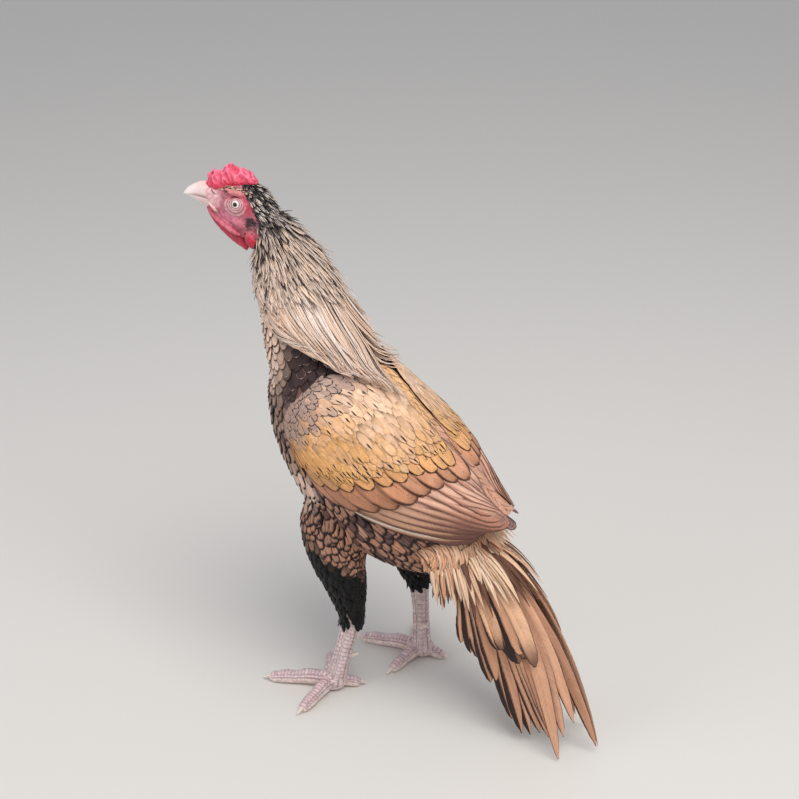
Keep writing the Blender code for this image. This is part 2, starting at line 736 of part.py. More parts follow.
def hackle_locks(form):
    locks = []
    for first, last, count, turn_from, turn_to in HACKLE_ROWS:
        for k in range(count):
            turn = turn_from + (turn_to - turn_from) * k / (count - 1) + 0.006 * math.sin(4.1 * k + 9 * first)
            slip = 0.02 * math.sin(7.3 * k + 20 * first)
            shares = [first + slip + (last - first) * i / 4 for i in range(5)]
            lifts = (-0.0030, 0.0008, 0.0018, 0.0026, 0.0034 + 0.0012 * math.sin(3.1 * k))
            points = [form.at(min(u, 1.0), turn, lift) for u, lift in zip(shares, lifts)]
            normals = [form.normal(min(u, 0.98), turn) for u in shares]
            width = math.tau * float(through(NECK, shares[2])[3]) * (turn_to - turn_from) / count * 1.45
            locks.append(vane("lock", points, normals, [width * share for share in LOCK], FEATHER_THICK))
    return locks


def cape_locks(form, tree):
    locks = []
    for k in range(CAPE_COUNT):
        q = k / (CAPE_COUNT - 1) * 2 - 1
        side = -1.0 if q < 0 else 1.0
        tip = Vector(through(CAPE_TIPS, 1 - abs(q)))
        tip.x = (tip.x if abs(q) > 0.01 else 0.0) * side + 0.0011 * math.sin(5.3 * k + 1)
        turn = 0.25 - q * 0.33 + 0.005 * math.sin(4.7 * k + 0.5)
        root = form.at(0.60, turn, -0.003)
        bend = form.at(0.80, turn, 0.016)
        points = [bezier((root, bend, tip), i / 4) for i in range(5)]
        normals = [form.normal(0.75, turn)] * 5
        points = points[:1] + clear_of(points[1:], tree, CAPE_LIFT)
        locks.append(vane("lock", points, normals, [CAPE_WIDTH * share for share in LOCK], FEATHER_THICK))
    return locks


def neck(tree):
    form = Form(NECK)
    piece = loft("neck", form, 0.0, 1.0, rings=12, sides=20)
    first, *others = hackle_locks(form) + cape_locks(form, tree)
    boolean(first, others, "UNION", "MANIFOLD")
    cut_by_torso(first, "MANIFOLD")
    boolean(piece, [first], "UNION", "MANIFOLD")
    cut_by_head(piece, "MANIFOLD")
    return paint(keep_largest(piece), HACKLE_CREAM)


# Saddle locks of one side, lowest in front first: root, bend and tip.
SADDLE = (
    ((0.040, 0.088, 0.214), (0.056, 0.090, 0.200), (0.053, 0.096, 0.172)),
    ((0.038, 0.096, 0.216), (0.055, 0.100, 0.202), (0.052, 0.108, 0.166)),
    ((0.036, 0.103, 0.218), (0.053, 0.112, 0.206), (0.050, 0.122, 0.172)),
    ((0.032, 0.110, 0.220), (0.049, 0.126, 0.210), (0.048, 0.140, 0.166)),
    ((0.028, 0.116, 0.221), (0.044, 0.138, 0.214), (0.045, 0.158, 0.168)),
    ((0.020, 0.122, 0.222), (0.036, 0.150, 0.222), (0.040, 0.178, 0.172)),
    ((0.012, 0.126, 0.222), (0.022, 0.160, 0.234), (0.028, 0.198, 0.182)),
    ((0.003, 0.126, 0.222), (0.006, 0.166, 0.238), (0.008, 0.214, 0.182)),
)
SADDLE_WIDTH = 0.0135
SADDLE_LIFT = 0.0022


def rump(tree):
    piece = loft("rump", Form(TORSO), RUMP_FROM + 0.0012, 1.0, *RUMP_RINGS)
    locks = []
    for _, side in SIDES:
        for row in SADDLE:
            controls = [Vector((p[0] * side, p[1], p[2])) for p in row]
            points = [bezier(controls, i / 4) for i in range(5)]
            points = points[:2] + clear_of(points[2:], tree, SADDLE_LIFT)
            out = Vector((controls[1].x * 12, 0.35, 0.30)).normalized()
            widths = [SADDLE_WIDTH * share for share in LOCK]
            locks.append(vane("lock", points, [out] * 5, widths, FEATHER_THICK))
    boolean(piece, locks, "UNION", "MANIFOLD")
    return paint(keep_largest(piece), SADDLE_CREAM)


# Tail feathers of one side, highest first: root, two bends, tip, and width.
TAIL = (
    ((0.004, 0.140, 0.206), (0.010, 0.200, 0.202), (0.010, 0.245, 0.120), (0.000, 0.287, 0.010), 0.022),
    ((0.008, 0.138, 0.200), (0.016, 0.190, 0.190), (0.026, 0.228, 0.110), (0.035, 0.258, 0.004), 0.024),
    ((0.010, 0.134, 0.194), (0.020, 0.178, 0.176), (0.024, 0.205, 0.100), (0.016, 0.236, 0.012), 0.026),
    ((0.012, 0.130, 0.188), (0.024, 0.165, 0.168), (0.032, 0.182, 0.104), (0.028, 0.209, 0.014), 0.028),
    ((0.013, 0.126, 0.184), (0.030, 0.150, 0.160), (0.036, 0.158, 0.120), (0.034, 0.171, 0.072), 0.026),
    ((0.012, 0.120, 0.180), (0.028, 0.132, 0.160), (0.034, 0.134, 0.140), (0.033, 0.132, 0.110), 0.022),
)
TAIL_COVERTS = (
    ((0.010, 0.142, 0.204), (0.024, 0.175, 0.200), (0.028, 0.205, 0.160), (0.030, 0.222, 0.112), 0.020),
    ((0.012, 0.140, 0.198), (0.028, 0.170, 0.188), (0.033, 0.192, 0.150), (0.034, 0.202, 0.112), 0.020),
    ((0.014, 0.134, 0.192), (0.032, 0.156, 0.180), (0.038, 0.172, 0.150), (0.038, 0.182, 0.124), 0.020),
)
BLADE = (0.45, 0.8, 1.0, 1.0, 0.95, 0.75, 0.2)


def tail_blade(side, row):
    *controls, width = row
    controls = [Vector((p[0] * side, p[1], p[2])) for p in controls]
    points = [bezier(controls, i / (len(BLADE) - 1)) for i in range(len(BLADE))]
    normals = [Vector((side, 0.35, 0.45)).normalized()] * len(BLADE)
    return vane("blade", points, normals, [width * share for share in BLADE], FEATHER_THICK)


def tail():
    piece = loft("tail", Form(TAIL_CORE), 0.0, 1.0, rings=8, sides=14)
    blades = [tail_blade(side, row) for _, side in SIDES for row in TAIL + TAIL_COVERTS]
    boolean(piece, blades, "UNION", "MANIFOLD")
    rump_cut = loft("rump_cut", Form(TORSO, GAP), RUMP_FROM - 0.01, 1.0, *RUMP_RINGS)
    boolean(piece, [rump_cut], "DIFFERENCE", "MANIFOLD")
    boolean(piece, [floor_cut()], "DIFFERENCE", "MANIFOLD")
    return paint(keep_largest(piece), TAIL_BROWN)


def thigh_stations(label, side):
    rows = []
    for index, row in enumerate(mirrored(THIGH, side)):
        share = index / (len(THIGH) - 1)
        back = HOCK_SHIFT[label] * share**0.8
        up = HOCK_RISE[label] * share
        rows.append((row[0], row[1] + back, row[2] + up, *row[3:]))
    return tuple(rows)


def thigh(label, side):
    piece = loft("thigh_" + label, Form(thigh_stations(label, side)), 0.0, 1.0, rings=9, sides=14)
    cut_by_torso(piece)
    return paint(keep_largest(piece), THIGH_BLACK)


def shank(label, side):
    piece = loft("shank_" + label, Form(SHANKS[label]), 0.0, 1.0, rings=14, sides=12)
    cut = loft("thigh_cut", Form(thigh_stations(label, side), GAP), 0.0, 1.0, 9, 14)
    boolean(piece, [cut], "DIFFERENCE")
    return paint(keep_largest(piece), SHANK_PINK)


def toe_path(label, toe):
    pad_x, pad_y = FEET[label]["pad"]
    dx, dy, root, end = FEET[label][toe]
    points, radii = [], []
    count = 7
    for i in range(count):
        s = i / (count - 1)
        radius = (root + (end - root) * s) / 2 * (1 + 0.06 * math.cos(s * math.tau * 2.5))
        arch = 0.0035 * math.sin(math.pi * min(s * 1.1, 1.0))
        points.append(Vector((pad_x + dx * s, pad_y + dy * s, radius * 0.90 + arch * (1 - s))))
        radii.append(radius)
    return points, radii


def toe(label, toe_name, grow=0.0):
    points, radii = toe_path(label, toe_name)
    along = (points[-1] - points[-2]).normalized()
    points.append(points[-1] + along * (radii[-1] * 0.7))
    radii.append(radii[-1] * 0.62)
    if grow:
        points[-1] = points[-1] + along * grow
        radii = [radius + grow for radius in radii]
    return tube("toe", points, radii, 6, 0.95)


def foot(label, side):
    pad_x, pad_y = FEET[label]["pad"]
    piece = ball("foot_" + label, Vector((pad_x, pad_y + 0.001, 0.0090)), (0.0150, 0.0165, 0.0125), 2)
    boolean(piece, [toe(label, name) for name in ("inner", "middle", "outer", "hind")], "UNION", "MANIFOLD")
    boolean(piece, [loft("shank_cut", Form(SHANKS[label], GAP), 0.0, 1.0, 14, 12)], "DIFFERENCE")
    boolean(piece, [floor_cut()], "DIFFERENCE")
    return paint(keep_largest(piece), SHANK_PINK)


CLAW = 0.0125
HIND_CLAW = 0.0095


def claw(label, toe_name):
    points, _ = toe_path(label, toe_name)
    along = points[-1] - points[-2]
    along.z = 0
    along.normalize()
    length = HIND_CLAW if toe_name == "hind" else CLAW
    start = points[-1] + Vector((0, 0, 0.0006))
    path, radii = [], []
    for i in range(5):
        s = i / 4
        drop = -0.0022 * s * s
        path.append(start + along * (length * s + 0.0005) + Vector((0, 0, drop)))
        radii.append(0.0027 * (1 - s) + 0.0005)
    piece = tube("claw_%s_%s" % (toe_name, label), path, radii, 6, 1.0)
    boolean(piece, [toe(label, toe_name, GAP)], "DIFFERENCE")
    boolean(piece, [floor_cut()], "DIFFERENCE")
    return paint(keep_largest(piece), CLAW_HORN)


def spur(label, side):
    down_the_shank = 0.62
    centre, _, _, back, _ = Form(SHANKS[label]).section(down_the_shank)
    out = (back * 0.8 + Vector((-side, 0, 0)) * 0.6).normalized()
    path = [centre + out * (0.004 + 0.0038 * i) + Vector((0, 0, 0.0003 * i * i)) for i in range(5)]
    piece = tube("spur_" + label, path, [0.0048, 0.0044, 0.0036, 0.0025, 0.0010], 8)
    boolean(piece, [loft("shank_cut", Form(SHANKS[label], GAP), 0.0, 1.0, 14, 12)], "DIFFERENCE")
    return paint(keep_largest(piece), CLAW_HORN)


head()
comb()
beak("beak_upper", True)
beak("beak_lower", False)
dewlap()
for label, side in SIDES:
    eye(label, side)
    earlobe(label, side)
    thigh(label, side)
    shank(label, side)
    foot(label, side)
    for toe_name in ("inner", "middle", "outer", "hind"):
        claw(label, toe_name)
    spur(label, side)
rump(surface_of(tail(), torso(), *[wing(label, side) for label, side in SIDES]))

# The cape lies on the back and wings as they are before anything is cut from them.
guides = [loft("guide", Form(TORSO), 0.0, 1.0, 18, 24)]
guides += [Wing(side).slab("guide", 0.0, 1.0, lift=COVERT_RISE) for _, side in SIDES]
neck(surface_of(*guides))
for guide in guides:
    bpy.data.objects.remove(guide, do_unlink=True)

for piece in bpy.context.scene.objects:
    piece.data.transform(Matrix.Translation((-STANCE_TO_MIDDLE[0], -STANCE_TO_MIDDLE[1], 0)))
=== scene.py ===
# Aseel rooster, life size and still: the skin, feathers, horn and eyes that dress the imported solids.
# Places are counted from the middle of the stance while a piece is made, with the bird facing -Y and its
# left side at +X, and then moved to the model's origin. Sizes are in metres.

import math

import bmesh
import bpy
import numpy as np
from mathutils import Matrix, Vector, noise
from mathutils.bvhtree import BVHTree


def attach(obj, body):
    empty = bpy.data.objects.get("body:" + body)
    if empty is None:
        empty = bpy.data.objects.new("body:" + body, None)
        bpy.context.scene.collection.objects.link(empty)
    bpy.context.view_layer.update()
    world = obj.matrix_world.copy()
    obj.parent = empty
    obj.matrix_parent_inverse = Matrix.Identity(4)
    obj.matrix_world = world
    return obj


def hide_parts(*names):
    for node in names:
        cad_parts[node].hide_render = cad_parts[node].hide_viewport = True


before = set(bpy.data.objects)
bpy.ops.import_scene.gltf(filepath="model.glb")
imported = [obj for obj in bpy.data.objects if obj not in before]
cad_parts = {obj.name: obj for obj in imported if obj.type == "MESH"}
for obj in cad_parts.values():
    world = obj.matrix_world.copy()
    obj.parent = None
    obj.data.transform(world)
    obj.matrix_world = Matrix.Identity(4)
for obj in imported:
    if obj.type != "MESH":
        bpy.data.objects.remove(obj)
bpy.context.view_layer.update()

# The skin. Flesh and skin of the whole bird in one closed form, from the bare face to the toes. It lies
# inside the solids by the depth of the coat where feathers grow and at their surface on the bare face and
# legs. Lofts and bulbs are fused by voxels, finely on the head and feet and coarsely under the plumage.

STANCE_TO_ORIGIN = np.array((-0.0085, -0.0331, 0.0))
SIDES = (("left", 1.0), ("right", -1.0))
COAT = 0.0045
# Stations run from the first end to the last: x, y, z, half width, depth behind (above), depth before
# (below).
HEAD = (
    (0.0, -0.214, 0.553, 0.009, 0.011, 0.014),
    (0.0, -0.204, 0.5535, 0.0125, 0.015, 0.024),
    (0.0, -0.188, 0.5535, 0.016, 0.019, 0.033),
    (0.0, -0.168, 0.555, 0.019, 0.024, 0.041),
    (0.0, -0.152, 0.554, 0.0205, 0.024, 0.04),
    (0.0, -0.139, 0.546, 0.019, 0.02, 0.033),
    (0.0, -0.129, 0.537, 0.014, 0.012, 0.02),
)
NECK = (
    (0.0, -0.144, 0.543, 0.017, 0.022, 0.019),
    (0.0, -0.126, 0.52, 0.029, 0.038, 0.034),
    (0.0, -0.108, 0.488, 0.04, 0.047, 0.042),
    (0.0, -0.094, 0.45, 0.046, 0.049, 0.048),
    (0.0, -0.082, 0.415, 0.053, 0.053, 0.054),
    (0.0, -0.07, 0.385, 0.056, 0.054, 0.056),
)
TORSO = (
    (0.0, -0.086, 0.428, 0.03, 0.03, 0.03),
    (0.0, -0.074, 0.395, 0.058, 0.058, 0.058),
    (0.0, -0.05, 0.348, 0.072, 0.072, 0.086),
    (0.0, -0.014, 0.302, 0.076, 0.077, 0.1),
    (0.0, 0.03, 0.262, 0.073, 0.076, 0.102),
    (0.0, 0.074, 0.232, 0.062, 0.062, 0.072),
    (0.0, 0.11, 0.213, 0.045, 0.042, 0.042),
    (0.0, 0.138, 0.2, 0.028, 0.024, 0.023),
)
TAIL_ROOT = (
    (0.0, 0.115, 0.208, 0.02, 0.02, 0.022),
    (0.0, 0.145, 0.192, 0.019, 0.02, 0.022),
    (0.0, 0.172, 0.166, 0.014, 0.017, 0.019),
    (0.0, 0.195, 0.135, 0.008, 0.012, 0.013),
)
THIGH = (
    (0.036, -0.027, 0.245, 0.03, 0.038, 0.038),
    (0.047, -0.027, 0.215, 0.032, 0.041, 0.04),
    (0.051, -0.019, 0.18, 0.027, 0.036, 0.035),
    (0.051, -0.008, 0.145, 0.02, 0.027, 0.027),
    (0.05, -0.004, 0.118, 0.015, 0.02, 0.02),
    (0.05, -0.003, 0.1, 0.0115, 0.0145, 0.0145),
)
# How far each hock lies behind, and over, the left one's.
HOCK_SHIFT = {"left": 0.0, "right": 0.028}
HOCK_RISE = {"left": 0.0, "right": 0.003}
SHANKS = {
    "left": (
        (0.05, 0.0000, 0.125, 0.0095, 0.0105, 0.0105),
        (0.05, -0.001, 0.104, 0.0105, 0.0115, 0.0115),
        (0.0505, -0.007, 0.078, 0.009, 0.0098, 0.0098),
        (0.0512, -0.014, 0.05, 0.0088, 0.0095, 0.0095),
        (0.0518, -0.02, 0.026, 0.0098, 0.0105, 0.0105),
        (0.052, -0.023, 0.012, 0.011, 0.0115, 0.0115),
    ),
    "right": (
        (-0.05, 0.026, 0.13, 0.0095, 0.0105, 0.0105),
        (-0.05, 0.027, 0.108, 0.0105, 0.0115, 0.0115),
        (-0.0508, 0.029, 0.08, 0.009, 0.0098, 0.0098),
        (-0.0514, 0.03, 0.052, 0.0088, 0.0095, 0.0095),
        (-0.052, 0.0305, 0.026, 0.0098, 0.0105, 0.0105),
        (-0.0522, 0.0305, 0.012, 0.011, 0.0115, 0.0115),
    ),
}
# Toes: the end of each underside from the middle of the pad, and the thickness at root and end.
FEET = {
    "left": {
        "pad": (0.0545, -0.027),
        "inner": (-0.037, -0.029, 0.0175, 0.012),
        "middle": (0.03, -0.064, 0.019, 0.013),
        "outer": (0.057, -0.001, 0.018, 0.0125),
        "hind": (-0.015, 0.025, 0.0145, 0.0115),
    },
    "right": {
        "pad": (-0.0545, 0.027),
        "inner": (0.049, -0.007, 0.0175, 0.012),
        "middle": (0.016, -0.069, 0.019, 0.013),
        "outer": (-0.042, -0.028, 0.018, 0.0125),
        "hind": (-0.003, 0.028, 0.0145, 0.0115),
    },
}
TOES = ("inner", "middle", "outer", "hind")
# The bird looks a little to its left and up. Everything is made with the head straight ahead, and then each
# level of the upper neck and head turns about the neck's own line by its share of these.
TURN = math.radians(22)
TURN_FROM, TURN_FULL = 0.44, 0.525
FORESHORTEN = 0.139
HEAD_LIFT = 0.194
NECK_LINE = np.array(NECK)[::-1, 1:3]


def srgb(red, green, blue):
    """A colour as the eye names it, 0 to 255, in linear light."""
    values = np.array((red, green, blue), float) / 255
    return np.where(values < 0.04045, values / 12.92, ((values + 0.055) / 1.055) ** 2.4)


def through(stations, u):
    """Catmull-Rom values at each u, 0 to 1, through evenly counted stations."""
    rows = np.asarray(stations, float)
    place = np.clip(u, 0, 1) * (len(rows) - 1)
    i = np.minimum(place.astype(int), len(rows) - 2)
    f = (place - i)[..., None]
    a, b = rows[i], rows[i + 1]
    before = np.where((i > 0)[..., None], rows[np.maximum(i - 1, 0)], 2 * a - b)
    after = np.where((i + 2 < len(rows))[..., None], rows[np.minimum(i + 2, len(rows) - 1)], 2 * b - a)
    square = (2 * before - 5 * a + 4 * b - after) * f**2
    cube = (3 * a - before - 3 * b + after) * f**3
    return 0.5 * (2 * a + (b - before) * f + square + cube)


def unit(vectors):
    return vectors / np.maximum(np.linalg.norm(vectors, axis=-1, keepdims=True), 1e-12)


class Form:
    """A rounded length of the body. Turn 0 is its left side, a quarter the back, three quarters the front."""

    def __init__(self, stations, inset=0.0):
        self.stations = np.asarray(stations, float)
        self.inset = inset

    def section(self, u):
        rows = through(self.stations, u)
        along = through(self.stations, np.minimum(u + 0.01, 1)) - through(
            self.stations, np.maximum(u - 0.01, 0),
        )
        along = unit(along[..., :3])
        side = unit(np.array((1.0, 0.0, 0.0)) - along * along[..., :1])
        return rows[..., :3], along, side, np.cross(side, along), np.maximum(
            rows[..., 3:] - self.inset, 0.001,
        )

    def at(self, u, turn, lift=0.0):
        u, turn = np.broadcast_arrays(np.asarray(u, float), np.asarray(turn, float))
        centre, _, side, back, size = self.section(u)
        c, s = np.cos(turn * math.tau)[..., None], np.sin(turn * math.tau)[..., None]
        depth = np.where(s > 0, size[..., 1:2], size[..., 2:3])
        lift = np.asarray(lift, float)[..., None]
        return centre + side * (size[..., :1] + lift) * c + back * (depth + lift) * s

    def rings(self, count, sides, first=0.0, last=1.0):
        u, turn = np.meshgrid(np.linspace(first, last, count), np.arange(sides) / sides, indexing="ij")
        return self.at(u, turn)


def shell(rings):
    """Points and faces of a closed form through rings of equally many points, with a fan over each end."""
    rings = np.asarray(rings, float)
    count, sides = rings.shape[:2]
    points = np.concatenate([rings.reshape(-1, 3), rings[:1].mean(1), rings[-1:].mean(1)])
    k = np.arange(sides)
    n = (k + 1) % sides
    faces = []
    for i in range(count - 1):
        a, b = i * sides, (i + 1) * sides
        faces += np.stack([a + k, a + n, b + n, b + k], 1).tolist()
    last = (count - 1) * sides
    faces += np.stack([n, k, np.full(sides, count * sides)], 1).tolist()
    faces += np.stack([last + k, last + n, np.full(sides, count * sides + 1)], 1).tolist()
    return points, faces


def bulb(centre, radii, rows=10, sides=16):
    """Points and faces of an ellipsoid."""
    a = np.linspace(0.02, math.pi - 0.02, rows)[:, None]
    b = np.linspace(0, math.tau, sides, endpoint=False)[None]
    ball = np.stack([np.sin(a) * np.cos(b), np.sin(a) * np.sin(b), np.cos(a) * np.ones_like(b)], 2)
    return shell(np.asarray(centre, float) + ball * np.asarray(radii, float))


def curve(points, count):
    """Places along the Bezier curve of these control points."""
    shares = np.linspace(0, 1, count)[:, None]
    work = [np.asarray(p, float) * np.ones_like(shares) for p in points]
    while len(work) > 1:
        work = [a + (b - a) * shares for a, b in zip(work, work[1:])]
    return work[0]


def bar(path, radii, sides=14, squash=1.0):
    """Points and faces of a round bar along a path, with its height scaled by squash."""
    path = np.asarray(path, float)
    along = unit(np.gradient(path, axis=0))
    side = np.cross(along, (0.0, 0.0, 1.0))
    side = unit(np.where(np.linalg.norm(side, axis=1, keepdims=True) > 0.05, side, (1.0, 0.0, 0.0)))
    up = unit(np.cross(side, along))
    turn = np.linspace(0, math.tau, sides, endpoint=False)
    radii = np.asarray(radii, float)[:, None, None]
    ring = side[:, None] * np.cos(turn)[None, :, None] + up[:, None] * (squash * np.sin(turn))[None, :, None]
    return shell(path[:, None] + ring * radii)


def mesh_of(name, parts):
    """One mesh from several lots of points and faces."""
    points, faces, base = [], [], 0
    for some_points, some_faces in parts:
        points.append(some_points)
        faces += [[base + i for i in face] for face in some_faces]
        base += len(some_points)
    mesh = bpy.data.meshes.new(name)
    mesh.from_pydata(np.concatenate(points), [], faces)
    return mesh


def add(name, mesh):
    piece = bpy.data.objects.new(name, mesh)
    bpy.context.scene.collection.objects.link(piece)
    return piece


def applied(piece):
    """Gives a piece the plain mesh that its modifiers make, and removes them."""
    graph = bpy.context.evaluated_depsgraph_get()
    mesh = bpy.data.meshes.new_from_object(piece.evaluated_get(graph), depsgraph=graph)
    piece.modifiers.clear()
    piece.data = mesh
    return piece


def fused(name, parts, voxel, smoothing):
    """Overlapping closed forms made one surface by voxels, then smoothed."""
    piece = add(name, mesh_of(name, parts))
    step = piece.modifiers.new("fuse", "REMESH")
    step.mode = "VOXEL"
    step.voxel_size = voxel
    soften = piece.modifiers.new("soften", "SMOOTH")
    soften.factor = 0.5
    soften.iterations = smoothing
    return applied(piece)


def joined(piece, others):
    """Unites closed pieces to the first one."""
    group = bpy.data.collections.new("operands")
    for other in others:
        group.objects.link(other)
    step = piece.modifiers.new("unite", "BOOLEAN")
    step.operation = "UNION"
    step.operand_type = "COLLECTION"
    step.collection = group
    step.solver = "MANIFOLD"
    applied(piece)
    for other in others:
        bpy.data.objects.remove(other, do_unlink=True)
    bpy.data.collections.remove(group)
    return piece


def places(mesh):
    flat = np.empty(len(mesh.vertices) * 3, np.float32)
    mesh.vertices.foreach_get("co", flat)
    return flat.reshape(-1, 3).astype(float)


def normals(mesh):
    flat = np.empty(len(mesh.vertices) * 3, np.float32)
    mesh.vertex_normals.foreach_get("vector", flat)
    return flat.reshape(-1, 3).astype(float)


def move(mesh, points):
    mesh.vertices.foreach_set("co", np.asarray(points, np.float32).ravel())
    mesh.update()


def relief(mesh, rounds=3):
    """How far each point stands out from those round it, in metres: ridges above 0, grooves below."""
    points = places(mesh)
    pairs = np.empty(len(mesh.edges) * 2, np.int32)
    mesh.edges.foreach_get("vertices", pairs)
    a, b = pairs.reshape(-1, 2).T
    count = np.bincount(a, minlength=len(points)) + np.bincount(b, minlength=len(points))
    middle = points
    for _ in range(rounds):
        total = np.stack(
            [
                np.bincount(a, middle[b, axis], len(points)) + np.bincount(b, middle[a, axis], len(points))
                for axis in range(3)
            ],
            1,
        )
        middle = total / np.maximum(count, 1)[:, None]
    return ((points - middle) * normals(mesh)).sum(1)


def blend(low, high, values):
    """A smooth step from 0 at low to 1 at high."""
    t = np.clip((values - low) / (high - low), 0, 1)
    return t * t * (3 - 2 * t)


def near(points, centre, radii):
    """1 at a centre, falling smoothly to 0 at an ellipsoid's surface."""
    return blend(1.0, 0.45, np.linalg.norm((points - np.asarray(centre)) / np.asarray(radii), axis=1))


def near_line(points, line, radius):
    """1 on a path of points, falling smoothly to 0 at a distance."""
    line = np.asarray(line, float)
    least = np.full(len(points), 9.0)
    for a, b in zip(line, line[1:]):
        share = np.clip(((points - a) @ (b - a)) / ((b - a) @ (b - a)), 0, 1)
        least = np.minimum(least, np.linalg.norm(points - a - share[:, None] * (b - a), axis=1))
    return blend(radius, radius * 0.3, least)


def write(mesh, name, values, kind="FLOAT_COLOR", domain="POINT"):
    """Stores an array as a named attribute of a mesh."""
    values = np.asarray(values, np.float32)
    if kind == "FLOAT_COLOR":
        values = np.concatenate([values, np.ones((len(values), 1), np.float32)], 1)
    slot = {"FLOAT_COLOR": "color", "FLOAT_VECTOR": "vector", "FLOAT2": "vector", "FLOAT": "value"}[kind]
    mesh.attributes.new(name, kind, domain).data.foreach_set(slot, values.ravel())


def turned(points):
    """Where points go as the head looks round: each level turns about the neck's own line."""
    x, y, z = np.asarray(points, float).T
    share = blend(TURN_FROM, TURN_FULL, z)
    axis_y = np.interp(z, NECK_LINE[:, 1], NECK_LINE[:, 0])
    ahead = axis_y - y
    forward = ahead * (1 - FORESHORTEN * share)
    c, s = np.cos(TURN * share), np.sin(TURN * share)
    round_x = x * c + forward * s
    round_y = axis_y - forward * c + x * s
    there = share > 0
    return np.stack(
        [np.where(there, round_x, x), np.where(there, round_y, y), z + HEAD_LIFT * share * ahead], 1,
    )


def settle(piece, slot, *nodes, straight=True):
    """Moves a finished piece to the model's origin, its head part turned, and lets it stand for its nodes."""
    points = places(piece.data)
    move(piece.data, (turned(points) if straight else points) + STANCE_TO_ORIGIN)
    piece.data.shade_smooth()
    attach(piece, "root")
    if nodes:
        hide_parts(*nodes)
    return piece


def thigh_stations(label, side):
    rows = []
    for index, (x, y, z, *sizes) in enumerate(THIGH):
        share = index / (len(THIGH) - 1)
        rows.append((x * side, y + HOCK_SHIFT[label] * share**0.8, z + HOCK_RISE[label] * share, *sizes))
    return rows


def toe_path(label, toe, count=25):
    """The middle line and radii of a toe, from the pad to the root of its claw."""
    pad_x, pad_y = FEET[label]["pad"]
    dx, dy, root, end = FEET[label][toe]
    s = np.linspace(0, 1, count)
    radii = (root + (end - root) * s) / 2 * (1 + 0.06 * np.cos(s * math.tau * 2.5))
    arch = 0.0035 * np.sin(math.pi * np.minimum(s * 1.1, 1.0))
    return np.stack([pad_x + dx * s, pad_y + dy * s, radii * 0.9 + arch * (1 - s)], 1), radii


def leg(label):
    """A shank and foot with toes and toe pads, fused finely."""
    pad_x, pad_y = FEET[label]["pad"]
    parts = [
        shell(Form(SHANKS[label]).rings(30, 24)),
        bulb((pad_x, pad_y + 0.001, 0.009), (0.015, 0.0165, 0.011)),
        bulb((pad_x, pad_y, 0.006), (0.011, 0.012, 0.0058)),
    ]
    for toe in TOES:
        path, radii = toe_path(label, toe)
        tip = path[-1] + unit(path[-1] - path[-2]) * radii[-1] * 0.7
        parts.append(bar(np.vstack([path, tip]), [*radii, radii[-1] * 0.62], 16, 0.95))
        for share in (0.3, 0.62, 0.92):
            index = int(share * (len(path) - 1))
            pad = path[index] - (0, 0, radii[index] * 0.42)
            parts.append(bulb(pad, (radii[index] * 0.92, radii[index] * 0.92, radii[index] * 0.5), 8, 12))
    piece = fused("leg_" + label, parts, 0.0009, 6)
    points = places(piece.data)
    points[:, 2] = np.maximum(points[:, 2], 0.0)
    move(piece.data, points)
    return piece


THROAT_LINE = curve(((0, -0.21, 0.538), (0, -0.203, 0.527), (0, -0.19, 0.5185), (0, -0.16, 0.504)), 14)
EYE_RADIUS = 0.0072


def eye_place(side):
    return np.array((0.0138 * side, -0.169, 0.5565))


def eye_axis(side):
    return unit(np.array((side, -0.16, 0.16)))


def face_line(side, *points):
    """Nine places along a curve on one side of the face. Its points are given for the left side."""
    return curve(np.array(points) * (side, 1, 1), 9)


def rictus(side):
    """The pale fold of skin that runs back and down from the corner of the mouth."""
    return face_line(side, (0.0088, -0.212, 0.55), (0.0128, -0.204, 0.548), (0.0142, -0.196, 0.54))


def jaw(side):
    return face_line(side, (0.007, -0.211, 0.54), (0.0135, -0.1955, 0.529), (0.015, -0.1665, 0.521))


def nostril(side):
    return face_line(side, (0.01, -0.2035, 0.564), (0.012, -0.2015, 0.5604), (0.013, -0.1965, 0.5598))


def grains(points, scale):
    """Noise at each place, finer for a larger scale."""
    return np.array([noise.noise(Vector(p) * scale) for p in points.tolist()])


# The brow, the cheek and the two lobes under the ear on the left side: centres and radii.
FACE_BULBS = (
    ((0.0142, -0.17, 0.5695), (0.0056, 0.015, 0.0048)),
    ((0.0122, -0.163, 0.537), (0.0078, 0.016, 0.009)),
    ((0.015, -0.152, 0.5205), (0.005, 0.0085, 0.0096)),
    ((0.0152, -0.1505, 0.5155), (0.0042, 0.0062, 0.006)),
)
THROAT_RADII = ((0, 0.4, 0.8, 1), (0.0035, 0.006, 0.0066, 0.005))
RICTUS_RADII = 0.001 * np.array((0.5, 0.8, 1.0, 1.2, 1.5, 1.8, 1.9, 1.4, 0.3))
JAW_RADII = 0.001 * np.array((0.8, 1.8, 2.6, 2.9, 3.2, 3.3, 3.6, 3.0, 1.0))
NOSTRIL_RADII = 0.001 * np.array((0.2, 0.4, 0.5, 0.55, 0.55, 0.5, 0.45, 0.35, 0.15))


